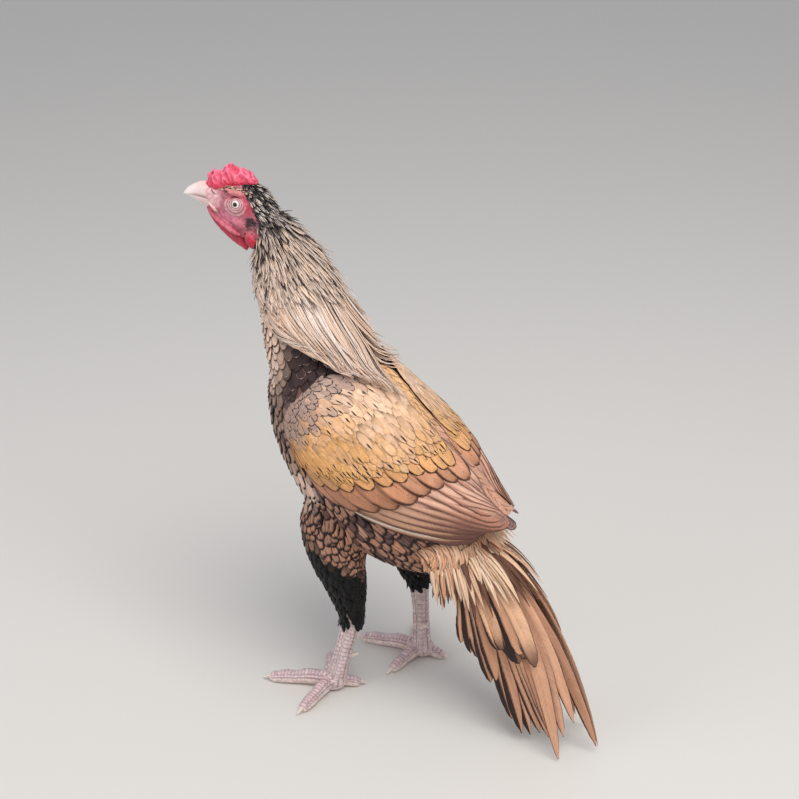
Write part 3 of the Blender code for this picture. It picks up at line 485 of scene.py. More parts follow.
def bare_head():
    """The head, throat, dewlap and earlobes, with the hollows and folds of the bare face."""
    parts = [
        shell(Form(HEAD).rings(40, 32)),
        shell(Form(NECK, COAT).rings(20, 28, 0.0, 0.42)),
        bar(THROAT_LINE, np.interp(np.linspace(0, 1, 14), *THROAT_RADII), 14, 1.1),
    ]
    for _, side in SIDES:
        parts += [bulb(np.array(centre) * (side, 1, 1), radii) for centre, radii in FACE_BULBS]
        parts += [bar(rictus(side), RICTUS_RADII), bar(jaw(side), JAW_RADII)]
    piece = fused("skin", parts, 0.00075, 5)
    points, out = places(piece.data), normals(piece.data)
    for _, side in SIDES:
        here = points[:, 0] * side > 0
        lore = near(points, (0.015 * side, -0.194, 0.557), (0.012, 0.013, 0.011)) * 0.0012
        ear = near(points, (0.019 * side, -0.1515, 0.54), (0.008, 0.008, 0.0085)) * 0.0022
        fold = near_line(points, rictus(side) + (0.0, 0.0034, -0.0022), 0.0022) * 0.0008
        wattle = near_line(points, jaw(side) + (0.0, 0.002, 0.0065), 0.0025) * 0.0007
        off_axis = points - eye_place(side)
        reach = off_axis @ eye_axis(side)
        spread = np.linalg.norm(off_axis - reach[:, None] * eye_axis(side), axis=1)
        socket = blend(0.0092, 0.007, spread) * np.maximum(reach - 0.0005, 0) * (reach > 0)
        points -= out * (here * (lore + ear + fold + wattle))[:, None]
        points -= eye_axis(side) * (here * socket)[:, None]
    # Fine wrinkles and grains, strongest on the red parts.
    rough = grains(points, 260.0) + 0.6 * grains(points, 620.0)
    points += out * (rough * 0.00035 * (points[:, 1] < -0.13))[:, None]
    move(piece.data, points)
    return piece


def body_flesh():
    """Neck, trunk, root of the tail and thighs, all of which the coat hides."""
    parts = [
        shell(Form(NECK, COAT).rings(24, 32, 0.15, 1.0)),
        shell(Form(TORSO, COAT).rings(36, 36)),
        shell(Form(TAIL_ROOT, COAT / 2).rings(12, 20)),
    ]
    for label, side in SIDES:
        parts.append(shell(Form(thigh_stations(label, side), COAT).rings(20, 24, 0.0, 0.97)))
    return fused("flesh", parts, 0.0032, 4)


FACE_EDGE = (
    # height, and how far back the bare face reaches there
    (0.5, 0.512, 0.53, 0.546, 0.556, 0.564, 0.572, 0.58),
    (-0.16, -0.146, -0.1425, -0.143, -0.147, -0.153, -0.16, -0.168),
)
FACE_PINK = srgb(184, 101, 115)
FACE_RED = srgb(186, 46, 68)
CHEEK_PINK = srgb(206, 120, 140)
JAW_RED = srgb(196, 74, 96)
RICTUS_PALE = srgb(240, 200, 190)
EAR_DARK = srgb(128, 78, 90)
BROW_PALE = srgb(222, 140, 132)
BROW_SHADE = srgb(150, 62, 76)
BROW_LINE = ((0.017, -0.184, 0.5635), (0.019, -0.17, 0.5645), (0.019, -0.156, 0.5625))
PALE_SKIN = srgb(232, 190, 190)
DEEP_RED = srgb(186, 30, 56)
SHANK_WHITE = srgb(222, 200, 194)
UNDER_FEATHER_SHADE = srgb(52, 38, 38)
UNDER_BUFF = srgb(120, 96, 78)


def unfeathered(points):
    """True over the face, which no feathers cover."""
    return points[:, 1] < np.interp(points[:, 2], *FACE_EDGE) + grains(points, 330.0) * 0.0045


def skin_colours(mesh):
    """Pink, pale and red face and pale legs, with painted shade under the feathers and in grooves and painted
    highlights on ridges.
    """
    points = places(mesh)
    x, y, z = np.abs(points[:, 0]), points[:, 1], points[:, 2]
    folded = np.stack([x, y, z], 1)
    colour = np.tile(FACE_PINK, (len(points), 1))
    for share, tone, strength in (
        (near(folded, (0.01, -0.204, 0.556), (0.014, 0.02, 0.016)), PALE_SKIN, 0.75),
        (near(folded, (0.019, -0.157, 0.558), (0.012, 0.016, 0.014)), FACE_RED, 0.65),
        (near(folded, (0.018, -0.153, 0.562), (0.01, 0.018, 0.01)), FACE_RED, 0.5),
        (near(folded, (0.016, -0.179, 0.536), (0.012, 0.018, 0.014)), CHEEK_PINK, 0.8),
        (near_line(folded, THROAT_LINE, 0.012), DEEP_RED, 0.95),
        (near_line(folded, jaw(1.0), 0.0065), JAW_RED, 0.6),
        (near(folded, (0.016, -0.151, 0.518), (0.011, 0.013, 0.013)), DEEP_RED, 0.95),
        (near_line(folded, rictus(1.0), 0.003), RICTUS_PALE, 0.95),
        (near(folded, (0.0185, -0.1515, 0.54), (0.009, 0.009, 0.0085)), EAR_DARK, 0.75),
        (near_line(folded, BROW_LINE, 0.0022), BROW_SHADE, 0.6),
        (near(folded, (0.016, -0.172, 0.57), (0.01, 0.018, 0.006)), BROW_PALE, 0.6),
        # Skin hidden under the feathers, on the neck and body, is painted dark as shade.
        (blend(-0.138, -0.128, y) * blend(0.125, 0.145, z), UNDER_FEATHER_SHADE, 1.0),
        ((~unfeathered(points)) * (z > 0.3), UNDER_FEATHER_SHADE, 1.0),
        (blend(-0.155, -0.145, y) * blend(0.515, 0.5, z) * blend(0.3, 0.4, z), UNDER_BUFF, 1.0),
        (blend(0.134, 0.118, z), SHANK_WHITE, 1.0),
    ):
        colour += (tone - colour) * (np.clip(share, 0, 1) * strength)[:, None]
    # Painted light: where the skin stands out it is made up to 15% lighter as a highlight, and in grooves up
    # to 15% darker as shade.
    raised = relief(mesh) / 0.0001
    colour *= (1 + 0.1 * np.clip(raised, -1.5, 1.5))[:, None]
    write(mesh, "tint", np.clip(colour, 0, 1))


def fill(node, sockets):
    """Gives a node's sockets their values, or wires them to the outputs of other nodes."""
    for name, value in sockets.items():
        if isinstance(value, bpy.types.NodeSocket):
            node.id_data.links.new(value, node.inputs[name])
        else:
            node.inputs[name].default_value = value
    return node


def finish_named(name, sockets):
    """A new material, its shader with these values, and a maker of nodes that returns one output of each."""
    material = bpy.data.materials.new(name)
    material.use_nodes = True
    tree = material.node_tree

    def node(kind, inputs, output=0, **settings):
        made = tree.nodes.new("ShaderNode" + kind)
        for setting, value in settings.items():
            setattr(made, setting, value)
        return fill(made, inputs).outputs[output]

    return material, fill(tree.nodes["Principled BSDF"], sockets), node


def skin_finish():
    """Thin moist skin: pores and fine wrinkles in the bump, blood showing through, a soft sheen."""
    thin = {"Subsurface Weight": 0.12, "Subsurface Scale": 0.004, "Subsurface Radius": (1.0, 0.35, 0.25)}
    material, shader, node = finish_named("rooster_skin", {"Roughness": 0.46, **thin})
    place = node("TexCoord", {}, "Object")
    tint = node("Attribute", {}, "Color", attribute_name="tint")
    blotch = node("TexNoise", {"Vector": place, "Scale": 300.0, "Detail": 5.0}, "Fac")
    pores = node("TexVoronoi", {"Vector": place, "Scale": 1100.0}, "Distance")
    limits = {"From Min": 0.3, "From Max": 0.7, "To Min": 0.72, "To Max": 1.2}
    shade = node("MapRange", {"Value": blotch, **limits})
    tone = node("VectorMath", {0: tint, "Scale": shade}, operation="SCALE")
    height = node("Math", {0: pores, 1: 0.6, 2: blotch}, operation="MULTIPLY_ADD")
    bump = node("Bump", {"Strength": 0.6, "Distance": 0.0008, "Height": height})
    fill(shader, {"Base Color": tone, "Normal": bump})
    return material


def tree_over(mesh):
    """A search tree over the triangles of a mesh."""
    mesh.calc_loop_triangles()
    corners = [tuple(face.vertices) for face in mesh.loop_triangles]
    return BVHTree.FromPolygons([v.co.copy() for v in mesh.vertices], corners)


skin = joined(bare_head(), [body_flesh(), *[leg(label) for label, _ in SIDES]])
skin_colours(skin.data)
skin.data.materials.clear()
SKIN_FINISH = skin_finish()
skin.data.materials.append(SKIN_FINISH)
# Every feather is laid on this ground, with the head still straight.
ground = tree_over(skin.data)
flesh = ["head", "neck", "torso", "dewlap"]
for label, _ in SIDES:
    flesh += [part + "_" + label for part in ("earlobe", "thigh", "shank", "foot")]
settle(skin, "face_skin", *flesh)
face_ground = tree_over(skin.data)


# The nostrils. A thin slit on each side where skin and horn meet, curved up at its front end, coloured near
# black as painted shade of the opening.

for label, side in SIDES:
    path = np.array([ground.find_nearest(Vector(p))[0] for p in nostril(side)])
    slit = add("nostril_" + label, mesh_of("nostril_" + label, [bar(path, NOSTRIL_RADII, 10)]))
    # The slit is painted near black: the shade inside the nostril.
    write(slit.data, "tint", np.tile(srgb(52, 30, 34), (len(slit.data.vertices), 1)))
    slit.data.materials.append(SKIN_FINISH)
    settle(slit, "face_skin")


# The eyelids. Two soft rims of pale skin round each eye with a groove between them, turned as rings about the
# eye's axis, a little longer than high, and set into the face. The grooves and the lids' inner edge are
# painted dark as shade.

LID_PROFILE = (
    # distance from the axis, height over the eye's centre, paleness (low in the grooves, which are painted
    # dark as shade)
    (0.0043, 0.0049, 0.1),
    (0.0046, 0.0056, 0.25),
    (0.0051, 0.0062, 0.75),
    (0.0057, 0.0063, 0.85),
    (0.0062, 0.006, 0.7),
    (0.0067, 0.0055, 0.12),
    (0.0072, 0.0057, 0.55),
    (0.0079, 0.0059, 0.82),
    (0.0086, 0.0056, 0.65),
    (0.0092, 0.005, 0.1),
    (0.0098, 0.0052, 0.55),
    (0.0106, 0.0054, 0.85),
    (0.0114, 0.005, 0.7),
    (0.0121, 0.004, 0.45),
    (0.0127, 0.003, 0.35),
)
LID_TURNS = 72
LID_REACH = 0.02
LID_GROOVE_SHADE = srgb(138, 72, 86)
LID_PALE = srgb(236, 184, 186)
LID_FADED = srgb(212, 98, 116)


def looking(side):
    """The eye's centre and outward axis once the head has turned."""
    ends = turned(np.array([eye_place(side), eye_place(side) + eye_axis(side) * 0.001]))
    return ends[0], unit(ends[1] - ends[0])


def lid_rings(side):
    """Rings of the lids, the outer ones drawn down to the skin around them."""
    centre, out = looking(side)
    across = unit(np.cross(out, (0.0, 0.0, 1.0)))
    up = unit(np.cross(across, out))
    up = up * np.sign(up[2])
    forward = across * -np.sign(across[1])
    profile = through(LID_PROFILE, np.linspace(0, 1, 44))
    a = np.linspace(0, math.tau, LID_TURNS, endpoint=False)
    rings = []
    for radius, height, _ in profile:
        # Low over the eye and full under it, fullest below and in front.
        wide = blend(0.006, 0.012, radius)
        reach = 1.0 - (0.12 + 0.24 * wide) * np.clip(np.sin(a), 0, 1) ** 1.5
        reach += 0.16 * wide * np.clip(np.cos(a + math.radians(55)), 0, 1)
        level = forward * (radius * 1.05 * reach * np.cos(a))[:, None]
        flat = centre + level + up * (radius * reach * np.sin(a))[:, None]
        heights = []
        for spot in flat:
            start = Vector(spot + STANCE_TO_ORIGIN + out * LID_REACH)
            hit = face_ground.ray_cast(start, Vector(-out))[3]
            heights.append(LID_REACH - hit if hit is not None else 0.0)
        share = blend(0.0074, 0.011, radius)
        outer = np.array(heights) + (height - 0.004) * 0.45 * (1 - fading(radius, a))
        lift = height * (1 - share) + share * outer
        rings.append(flat + out * lift[:, None])
    return np.array(rings), out, profile


def fading(radius, a):
    """How far the outer lids run out into the face, behind and over the eye."""
    return blend(0.0076, 0.0096, radius) * np.clip(0.55 - 1.1 * np.cos(a + math.radians(60)), 0, 1)


def eyelid(label, side):
    rings, out, profile = lid_rings(side)
    loops = [rings[0] - out * 0.003, *rings, rings[-1] - out * 0.0025]
    count = len(loops)
    points = np.concatenate(loops)
    k = np.arange(LID_TURNS)
    n = (k + 1) % LID_TURNS
    faces = []
    for i in range(count):
        a, b = i * LID_TURNS, (i + 1) % count * LID_TURNS
        faces += np.stack([a + k, a + n, b + n, b + k], 1).tolist()
    piece = add("eyelid_" + label, mesh_of("eyelid_" + label, [(points, faces)]))
    facing_out(piece)
    profile = np.repeat(np.concatenate([profile[:1], profile, profile[-1:]]), LID_TURNS, axis=0)
    pale = np.clip(profile[:, 2], 0, 1)[:, None]
    a = np.tile(np.linspace(0, math.tau, LID_TURNS, endpoint=False), count)
    faded = np.clip(fading(profile[:, 0], a), 0, 1)[:, None]
    # The grooves, where paleness is low, are painted dark as shade.
    colour = LID_GROOVE_SHADE * (1 - pale) + LID_PALE * pale
    write(piece.data, "tint", colour + (LID_FADED - colour) * faded * 0.9)
    piece.data.materials.append(SKIN_FINISH)
    return settle(piece, "face_skin", straight=False)


def facing_out(piece):
    shape = bmesh.new()
    shape.from_mesh(piece.data)
    bmesh.ops.recalc_face_normals(shape, faces=shape.faces)
    shape.to_mesh(piece.data)
    shape.free()


# The eyes. Wet balls with a raised clear front: a pearl iris with fine spokes round a black pupil.

IRIS_RADIUS = 0.0044
PUPIL_RADIUS = 0.0023


def eye_finish(label, side):
    """A wet ball, coloured in rings by the distance from the eye's axis, the rings broken by fine spokes."""
    wet = {"Roughness": 0.12, "Specular IOR Level": 0.3, "Coat Weight": 0.5, "Coat Roughness": 0.02}
    material, shader, node = finish_named("pearl_eye_" + label, wet)
    centre, out = looking(side)
    place = node("TexCoord", {}, "Object")
    inner = node("VectorMath", {0: place, 1: centre + STANCE_TO_ORIGIN}, operation="SUBTRACT")
    beside = node("VectorMath", {0: inner, 1: out}, operation="CROSS_PRODUCT")
    reach = node("VectorMath", {0: beside}, "Value", operation="LENGTH")
    spokes = node("TexNoise", {"Vector": place, "Scale": 1800.0, "Detail": 3.0}, "Fac")
    wander = node("Math", {0: spokes, 1: 0.0004, 2: reach}, operation="MULTIPLY_ADD")
    ramp = node("MapRange", {"Value": wander, "From Max": EYE_RADIUS})
    rings = node("ValToRGB", {"Fac": ramp}, "Color")
    pupil, iris = PUPIL_RADIUS / EYE_RADIUS, IRIS_RADIUS / EYE_RADIUS
    stops = (
        (0.0, srgb(6, 5, 6)),
        (pupil, srgb(8, 6, 8)),
        (pupil + 0.03, srgb(150, 110, 84)),
        (pupil + 0.09, srgb(238, 226, 214)),
        (iris - 0.04, srgb(244, 232, 226)),
        (iris + 0.03, srgb(62, 40, 44)),
    )
    band = rings.node.color_ramp.elements
    while len(band) < len(stops):
        band.new(1.0)
    for stop, (reach, tone) in zip(band, stops):
        stop.position = reach
        stop.color = (*tone, 1.0)
    fill(shader, {"Base Color": rings})
    return material


def eyeball(label, side):
    centre, out = looking(side)
    points, faces = bulb((0, 0, 0), (EYE_RADIUS,) * 3, 40, 48)
    reach = points @ out / EYE_RADIUS
    points *= (1 + 0.06 * blend(0.8, 1.0, reach))[:, None]
    piece = add("eyeball_" + label, mesh_of("eyeball_" + label, [(points + centre, faces)]))
    piece.data.materials.append(eye_finish(label, side))
    return settle(piece, "eye_pearl", "eye_" + label, straight=False)


for label, side in SIDES:
    eyelid(label, side)
    eyeball(label, side)


# The comb. A low fleshy cushion on the crown, its flanks full and smooth below, folded into ridges above and
# beaded at its front edge. The folds are drawn out of the fused form by noise, and a painted highlight makes
# the comb paler toward its crest, along the backs of the folds and where it stands out.

comb_line = curve(((0, -0.211, 0.564), (0, -0.195, 0.568), (0, -0.17, 0.578), (0, -0.1465, 0.58)), 64)
COMB_CREST = (
    (0, 0.05, 0.12, 0.22, 0.3, 0.36, 0.5, 0.6, 0.66, 0.74, 0.88, 1),
    (0.004, 0.0085, 0.012, 0.015, 0.0134, 0.014, 0.0186, 0.0172, 0.013, 0.0138, 0.01, 0.003),
)
COMB_WIDTH = ((0, 0.06, 0.2, 0.45, 0.8, 0.94, 1), (0.0036, 0.0068, 0.01, 0.0108, 0.0092, 0.0064, 0.0028))
COMB_RED = srgb(206, 16, 54)
COMB_HIGHLIGHT = srgb(248, 124, 152)
COMB_HANG = ((0, 0.12, 0.3, 0.45, 0.65, 1), (0.001, 0.0038, 0.0052, 0.0036, 0.0008, 0.0))


def on_comb(s):
    return np.stack([np.interp(s, np.linspace(0, 1, 64), comb_line[:, axis]) for axis in range(3)], -1)


def comb_core(s, tilt):
    """Points of the comb's cross-sections at shares s along it, tilt counted from the crest."""
    crest, wide, hang = (np.interp(s, *table) for table in (COMB_CREST, COMB_WIDTH, COMB_HANG))
    points = on_comb(s)
    points[:, 0] = wide * np.sin(tilt) * (0.72 + 0.28 * (1 - np.cos(tilt)))
    points[:, 2] += -hang + (crest + hang) * (0.38 + 0.62 * np.cos(tilt))
    return points


def comb_beads():
    """Small beads up the comb's front edge and over its crest."""
    draw = np.random.default_rng(11)
    front = np.linspace(0, 1, 7)
    parts = [(0.01 + 0.05 * f, math.radians(100 * (1 - f)) * k, 0.0012) for f in front for k in (-1, 1)]
    for s in np.linspace(0.08, 0.95, 26):
        parts.append((s, math.radians(draw.normal(0, 26)), draw.uniform(0.0013, 0.0024)))
    rows = np.array(parts)
    points = comb_core(rows[:, 0], rows[:, 1])
    return [bulb(p, (r, r, r)) for p, r in zip(points, rows[:, 2])]


def comb_finish():
    """Soft red skin, with fine grains and a moist sheen."""
    material = SKIN_FINISH.copy()
    material.name = "comb_flesh"
    fill(material.node_tree.nodes["Principled BSDF"], {"Roughness": 0.38, "Subsurface Weight": 0.2})
    return material


COMB_FINISH = comb_finish()
tilts = np.radians(np.linspace(-128, 128, 40))
rings = [comb_core(np.full(40, s), tilts) for s in np.linspace(0.0, 1.0, 44)]
comb = fused("comb_flesh", [shell(rings), *comb_beads()], 0.0005, 3)
points, out = places(comb.data), normals(comb.data)
above = points[:, 2] - np.interp(points[:, 1], comb_line[:, 1], comb_line[:, 2])
x, y, z = points.T
fold = grains(np.stack([x * 95, y * 125 + z * 60, z * 85 + 3.1], 1), 1.0)
fold = np.clip(1 - np.abs(fold) * 3.2, -0.6, 1)
grain = grains(points, 520.0)
high = blend(0.000, 0.009, above)
points += out * (fold * (0.0003 + 0.0013 * high) + grain * 0.00035)[:, None]
move(comb.data, points)
raised = relief(comb.data, 6) / 0.00025
# A painted highlight: paler pink toward the crest, along the backs of the folds and on ridges, less in
# grooves.
pale = (0.12 + 0.3 * high) + 0.42 * np.clip(fold, -0.3, 1) ** 3 * (0.35 + high) + 0.22 * raised
pale = np.clip(pale, 0, 1)[:, None]
write(comb.data, "tint", COMB_RED * (1 - pale) + COMB_HIGHLIGHT * pale)
comb.data.materials.clear()
comb.data.materials.append(COMB_FINISH)
settle(comb, "comb_skin", "comb")


# The beak. Two halves of pale horn that meet in the line of the mouth, the upper hooked over the lower, each
# drawn out of rings along the bill, with fine growth lines and a dusky edge along the mouth.

BEAK = (
    # y, top, mouth, lower edge, half width
    (-0.202, 0.5678, 0.5515, 0.535, 0.0116),
    (-0.211, 0.5672, 0.5512, 0.538, 0.0102),
    (-0.22, 0.5645, 0.5508, 0.5412, 0.0088),
    (-0.229, 0.56, 0.5496, 0.544, 0.0066),
    (-0.237, 0.5545, 0.5474, 0.5458, 0.004),
    (-0.2425, 0.5478, 0.5458, 0.5462, 0.001),
)
LOWER_REACH = 0.84
MOUTH_GAP = 0.0002
BEAK_BACK, BEAK_LENGTH = -0.202, 0.04
HORN_PINK = srgb(226, 196, 192)
HORN_PALE = srgb(244, 232, 228)
HORN_DUSKY = srgb(150, 128, 130)


def horn_finish(name, roughness):
    """Pale horn: fine growth lines along it, light let in a little, and a thin gloss."""
    thin = {"Subsurface Weight": 0.15, "Subsurface Scale": 0.003, "Coat Weight": 0.15}
    material, shader, node = finish_named(name, {"Roughness": roughness, **thin})
    place = node("TexCoord", {}, "Object")
    grain = node("Mapping", {"Vector": place, "Scale": (700.0, 90.0, 500.0)})
    lines = node("TexNoise", {"Vector": grain, "Scale": 1.0, "Detail": 4.0}, "Fac")
    shade = node("MapRange", {"Value": lines, "To Min": 0.82, "To Max": 1.14})
    tint = node("Attribute", {}, "Color", attribute_name="tint")
    tone = node("VectorMath", {0: tint, "Scale": shade}, operation="SCALE")
    bump = node("Bump", {"Strength": 0.25, "Distance": 0.0003, "Height": lines})
    fill(shader, {"Base Color": tone, "Normal": bump})
    return material


HORN_FINISH = horn_finish("beak_horn_pale", 0.34)


def beak_half(name, upper):
    count, sides = 40, 24
    turn = 1 if upper else -1
    rows = through(BEAK, np.linspace(0, 1.0 if upper else LOWER_REACH, count))
    rings = []
    for y, top, mouth, low, width in rows:
        edge = mouth + turn * MOUTH_GAP
        height = max((top - mouth) if upper else (mouth - low), 0.0009)
        a = np.linspace(0, math.pi, sides)
        x = width * np.cos(a) * (1 - 0.1 * np.sin(a) ** 2)
        z = height * np.sin(a) ** 0.75
        if upper:
            edge -= 0.0007 * blend(0.5, 0.9, (BEAK_BACK - y) / BEAK_LENGTH)
        arc = np.stack([x, np.full(sides, y), edge + turn * z], 1)
        under = np.full((5, 3), (0.0, y, edge + turn * 0.0006))
        under[:, 0] = np.linspace(-0.6, 0.6, 5) * width
        rings.append(np.concatenate([arc, under]))
    piece = add(name, mesh_of(name, [shell(rings)]))
    facing_out(piece)
    points = places(piece.data)
    share = (BEAK_BACK - points[:, 1]) / BEAK_LENGTH
    colour = HORN_PINK + (HORN_PALE - HORN_PINK) * blend(0.25, 1.0, share)[:, None]
    mouth = through(BEAK, np.clip(share, 0, 1))[:, 2]
    dusky = blend(0.0022, 0.0002, np.abs(points[:, 2] - mouth)) * blend(1.05, 0.5, share) * 0.45
    colour += (HORN_DUSKY - colour) * dusky[:, None]
    write(piece.data, "tint", colour)
    piece.data.materials.append(HORN_FINISH)
    return settle(piece, "beak_horn", name.replace("_horn", ""))


beak_half("beak_upper_horn", True)
beak_half("beak_lower_horn", False)


# The claws and spurs. Short pale horn cones on the toes, curved down to the floor, and a low blunt spur on
# the back of each shank.

CLAW = 0.0125
HIND_CLAW = 0.0095
CLAW_FINISH = horn_finish("claw_horn_pale", 0.42)


def horn_colours(piece, centre, length):
    away = np.linalg.norm(places(piece.data) - centre, axis=1)[:, None] / length
    write(piece.data, "tint", srgb(196, 176, 164) * (1 - away) + srgb(232, 218, 206) * away)


for label, side in SIDES:
    for toe in TOES:
        line, toe_radii = toe_path(label, toe)
        along = unit((line[-1] - line[-2]) * (1, 1, 0))
        length = HIND_CLAW if toe == "hind" else CLAW
        s = np.linspace(-0.25, 1, 20)[:, None]
        path = line[-1] + along * (length * s + 0.0005) + np.array((0, 0, 1)) * (0.0012 - 0.0026 * s**2)
        radii = 0.0031 * np.clip(1 - s[:, 0], 0, 1) ** 0.75 + 0.0003
        radii[0] = 0.0022
        path[:, 2] = np.maximum(path[:, 2], radii + 0.0001)
        claw = add("claw_horn_%s_%s" % (toe, label), mesh_of("claw", [bar(path, radii, 14, 1.1)]))
        horn_colours(claw, line[-1], length)
        claw.data.materials.append(CLAW_FINISH)
        settle(claw, "claw_horn", "claw_%s_%s" % (toe, label))
    centre, _, _, back, _ = (v[0] for v in Form(SHANKS[label]).section(np.array([0.62])))
    out = unit(back * 0.8 + np.array((-side, 0, 0)) * 0.6)
    i = np.linspace(0, 4, 16)[:, None]
    path = centre + out * (0.004 + 0.004 * i) + np.array((0, 0, 0.0003)) * i**2
    spur = add("spur_horn_" + label, mesh_of("spur", [bar(path, 0.005 * (1 - (i[:, 0] / 4.4) ** 1.6), 14)]))
    horn_colours(spur, centre, 0.022)
    spur.data.materials.append(CLAW_FINISH)
    settle(spur, "claw_horn", "spur_" + label)


# Feathers. Each is a thin closed vane with a ridge along its shaft, drooping edges and barbed sides. It runs
# along its own path over the body, and carries its colours and its place across and along in attributes.

BARB_SPLAY = 0.25


def template(rows, columns):
    """Corner indices and corner counts of the faces of one closed vane."""
    faces = []
    for i in range(rows - 1):
        a, b = i * columns, (i + 1) * columns
        faces += [(a + j, a + j + 1, b + j + 1, b + j) for j in range(columns - 1)]
        faces.append((b, b + columns - 1, a + columns - 1, a))
    faces.append(range(columns - 1, -1, -1))
    faces.append(range((rows - 1) * columns, rows * columns))
    return np.concatenate([np.array(face) for face in faces]), np.array([len(face) for face in faces])


def vane_points(paths, outs, widths, outline, columns, camber, thick, sweep, draw):
    """The grid of points of many vanes: paths and outs are (count, rows, 3)."""
    count, rows = paths.shape[:2]
    along = unit(np.gradient(paths, axis=1))
    side = unit(np.cross(along, outs))
    up = np.cross(side, along)
    across = np.linspace(-1, 1, columns)
    half = (widths[:, None] / 2 * outline)[:, :, None]
    length = np.linalg.norm(np.diff(paths, axis=1), axis=2).sum(1)
    # The outermost points are ragged, less so on broad feathers.
    outermost = np.abs(across) > 0.99
    fray = np.minimum(1, 0.008 / widths)[:, None, None] * outermost
    spread = half * across * (1 + draw.uniform(-0.1, 0.06, (count, rows, columns)) * fray)
    rise = thick * (1 - across**2) - camber[:, None, None] * half * across**2
    splay = draw.uniform(-BARB_SPLAY, BARB_SPLAY, (count, rows, columns)) * outermost
    ahead = sweep * half * np.abs(across) ** 1.5 + splay * (length / rows)[:, None, None] * 0.5
    return (
        paths[:, :, None]
        + side[:, :, None] * spread[..., None]
        + up[:, :, None] * rise[..., None]
        + along[:, :, None] * ahead[..., None]
    )


class Coat:
    """Vanes gathered for one piece of plumage. The seed of a side's own coat is one more on the right."""

    def __init__(self, name, seed, label=None):
        self.name = name if label is None else name + "_" + label
        self.draw = np.random.default_rng(seed + (label == "right"))
        self.lots = []

    def lay(
        self, paths, outs, widths, homes, tint, trim, marks, outline,
        columns=5, camber=0.12, sweep=0.12, thick=0.0003, web=0.0, tips=None, fade=0.75,
    ):
        """Adds vanes. Tint is the colour, trim the colour of edge, shaft streak and spot, marks their widths.

        Homes are the places of the feathers on the map. Web is the dark share of one side of a quill. Tips
        is the colour that the tint turns to, from the share of the length named by fade.
        """
        count, rows = paths.shape[:2]
        # Rows crowd toward the tip, where the outline turns.
        at = 1 - (1 - np.linspace(0, 1, rows)) ** 1.5
        below = np.minimum((at * (rows - 1)).astype(int), rows - 2)
        share = (at * (rows - 1) - below)[:, None]
        paths = paths[:, below] * (1 - share) + paths[:, below + 1] * share
        outs = unit(outs[:, below] * (1 - share) + outs[:, below + 1] * share)
        widths, camber, web = (np.broadcast_to(np.asarray(v, float), (count,)) for v in (widths, camber, web))
        tint, trim, marks = (np.broadcast_to(v, (count, 3)) for v in (tint, trim, marks))
        ends = tint if tips is None else np.broadcast_to(tips, (count, 3))
        points = vane_points(paths, outs, widths, outline(at), columns, camber, thick, sweep, self.draw)
        length = np.linalg.norm(np.diff(paths, axis=1), axis=2).sum(1)
        turned = blend(fade, 1.0, at)[None, :, None]
        tint = tint[:, None] * (1 - turned) + ends[:, None] * turned
        across, along = np.meshgrid(np.linspace(-1, 1, columns), at)
        each = rows * columns
        seed = np.repeat(self.draw.uniform(0, 1, count), each)
        lot = {
            "points": points.reshape(-1, 3),
            "barb": np.stack([np.tile(across.ravel(), count), np.tile(along.ravel(), count), seed], 1),
            "grain": np.repeat(np.stack([length, widths, web], 1), each, axis=0),
            "tint": np.repeat(tint.reshape(-1, 3), columns, axis=0),
            "trim": np.repeat(trim, each, axis=0),
            "marks": np.repeat(marks, each, axis=0),
            "home": np.repeat(homes, each, axis=0),
        }
        self.lots.append((count, rows, columns, lot))

    def made(self):
        """The joined mesh of all the vanes, with its attributes and its map."""
        corners, counts, base = [], [], 0
        for count, rows, columns, _ in self.lots:
            face_corners, face_counts = template(rows, columns)
            starts = base + np.arange(count) * rows * columns
            corners.append((starts[:, None] + face_corners).ravel())
            counts.append(np.tile(face_counts, count))
            base += count * rows * columns
        corners, counts = np.concatenate(corners), np.concatenate(counts)
        whole = {key: np.concatenate([lot[key] for *_, lot in self.lots]) for key in self.lots[0][-1]}
        mesh = bpy.data.meshes.new(self.name)
        mesh.vertices.add(base)
        mesh.vertices.foreach_set("co", whole["points"].astype(np.float32).ravel())
        mesh.loops.add(len(corners))
        mesh.loops.foreach_set("vertex_index", corners.astype(np.int32))
        mesh.polygons.add(len(counts))
        mesh.polygons.foreach_set("loop_start", (np.cumsum(counts) - counts).astype(np.int32))
        mesh.update(calc_edges=True)
        for name in ("tint", "trim", "marks", "grain", "barb"):
            write(mesh, name, whole[name], "FLOAT_COLOR" if name in ("tint", "trim") else "FLOAT_VECTOR")
        # Each feather has a small patch of the map round its home.
        patch = whole["home"] + (whole["barb"][:, :2] - (0.0, 0.5)) * (0.0015, 0.003)
        chart = mesh.uv_layers.new(name="OFBake")
        chart.uv.foreach_set("vector", patch[corners].astype(np.float32).ravel())
        return add(self.name, mesh)


def per_feather(count, *values):
    """One row for each feather, from numbers or lists of numbers."""
    return np.stack([np.broadcast_to(np.asarray(value, float), (count,)) for value in values], 1)


ROUNDED = (
    (0, 0.08, 0.3, 0.55, 0.7, 0.8, 0.88, 0.95, 1.0),
    (0.3, 0.62, 0.92, 1.0, 0.97, 0.87, 0.71, 0.46, 0.06),
)


def rounded(a):
    """Half width of a body feather along its length."""
    return np.interp(a, *ROUNDED)


def pointed(a):
    """Half width of a hackle along its length: narrow, tapering to a point."""
    return np.interp(a, (0, 0.12, 0.35, 0.6, 0.8, 0.93, 1.0), (0.45, 0.8, 1.0, 0.86, 0.55, 0.26, 0.06))


def quill(a):
    """A tail feather: parallel sides drawn in to a narrow point."""
    return np.interp(a, (0, 0.08, 0.25, 0.7, 0.88, 0.96, 1.0), (0.25, 0.6, 0.9, 1.0, 0.72, 0.4, 0.06))


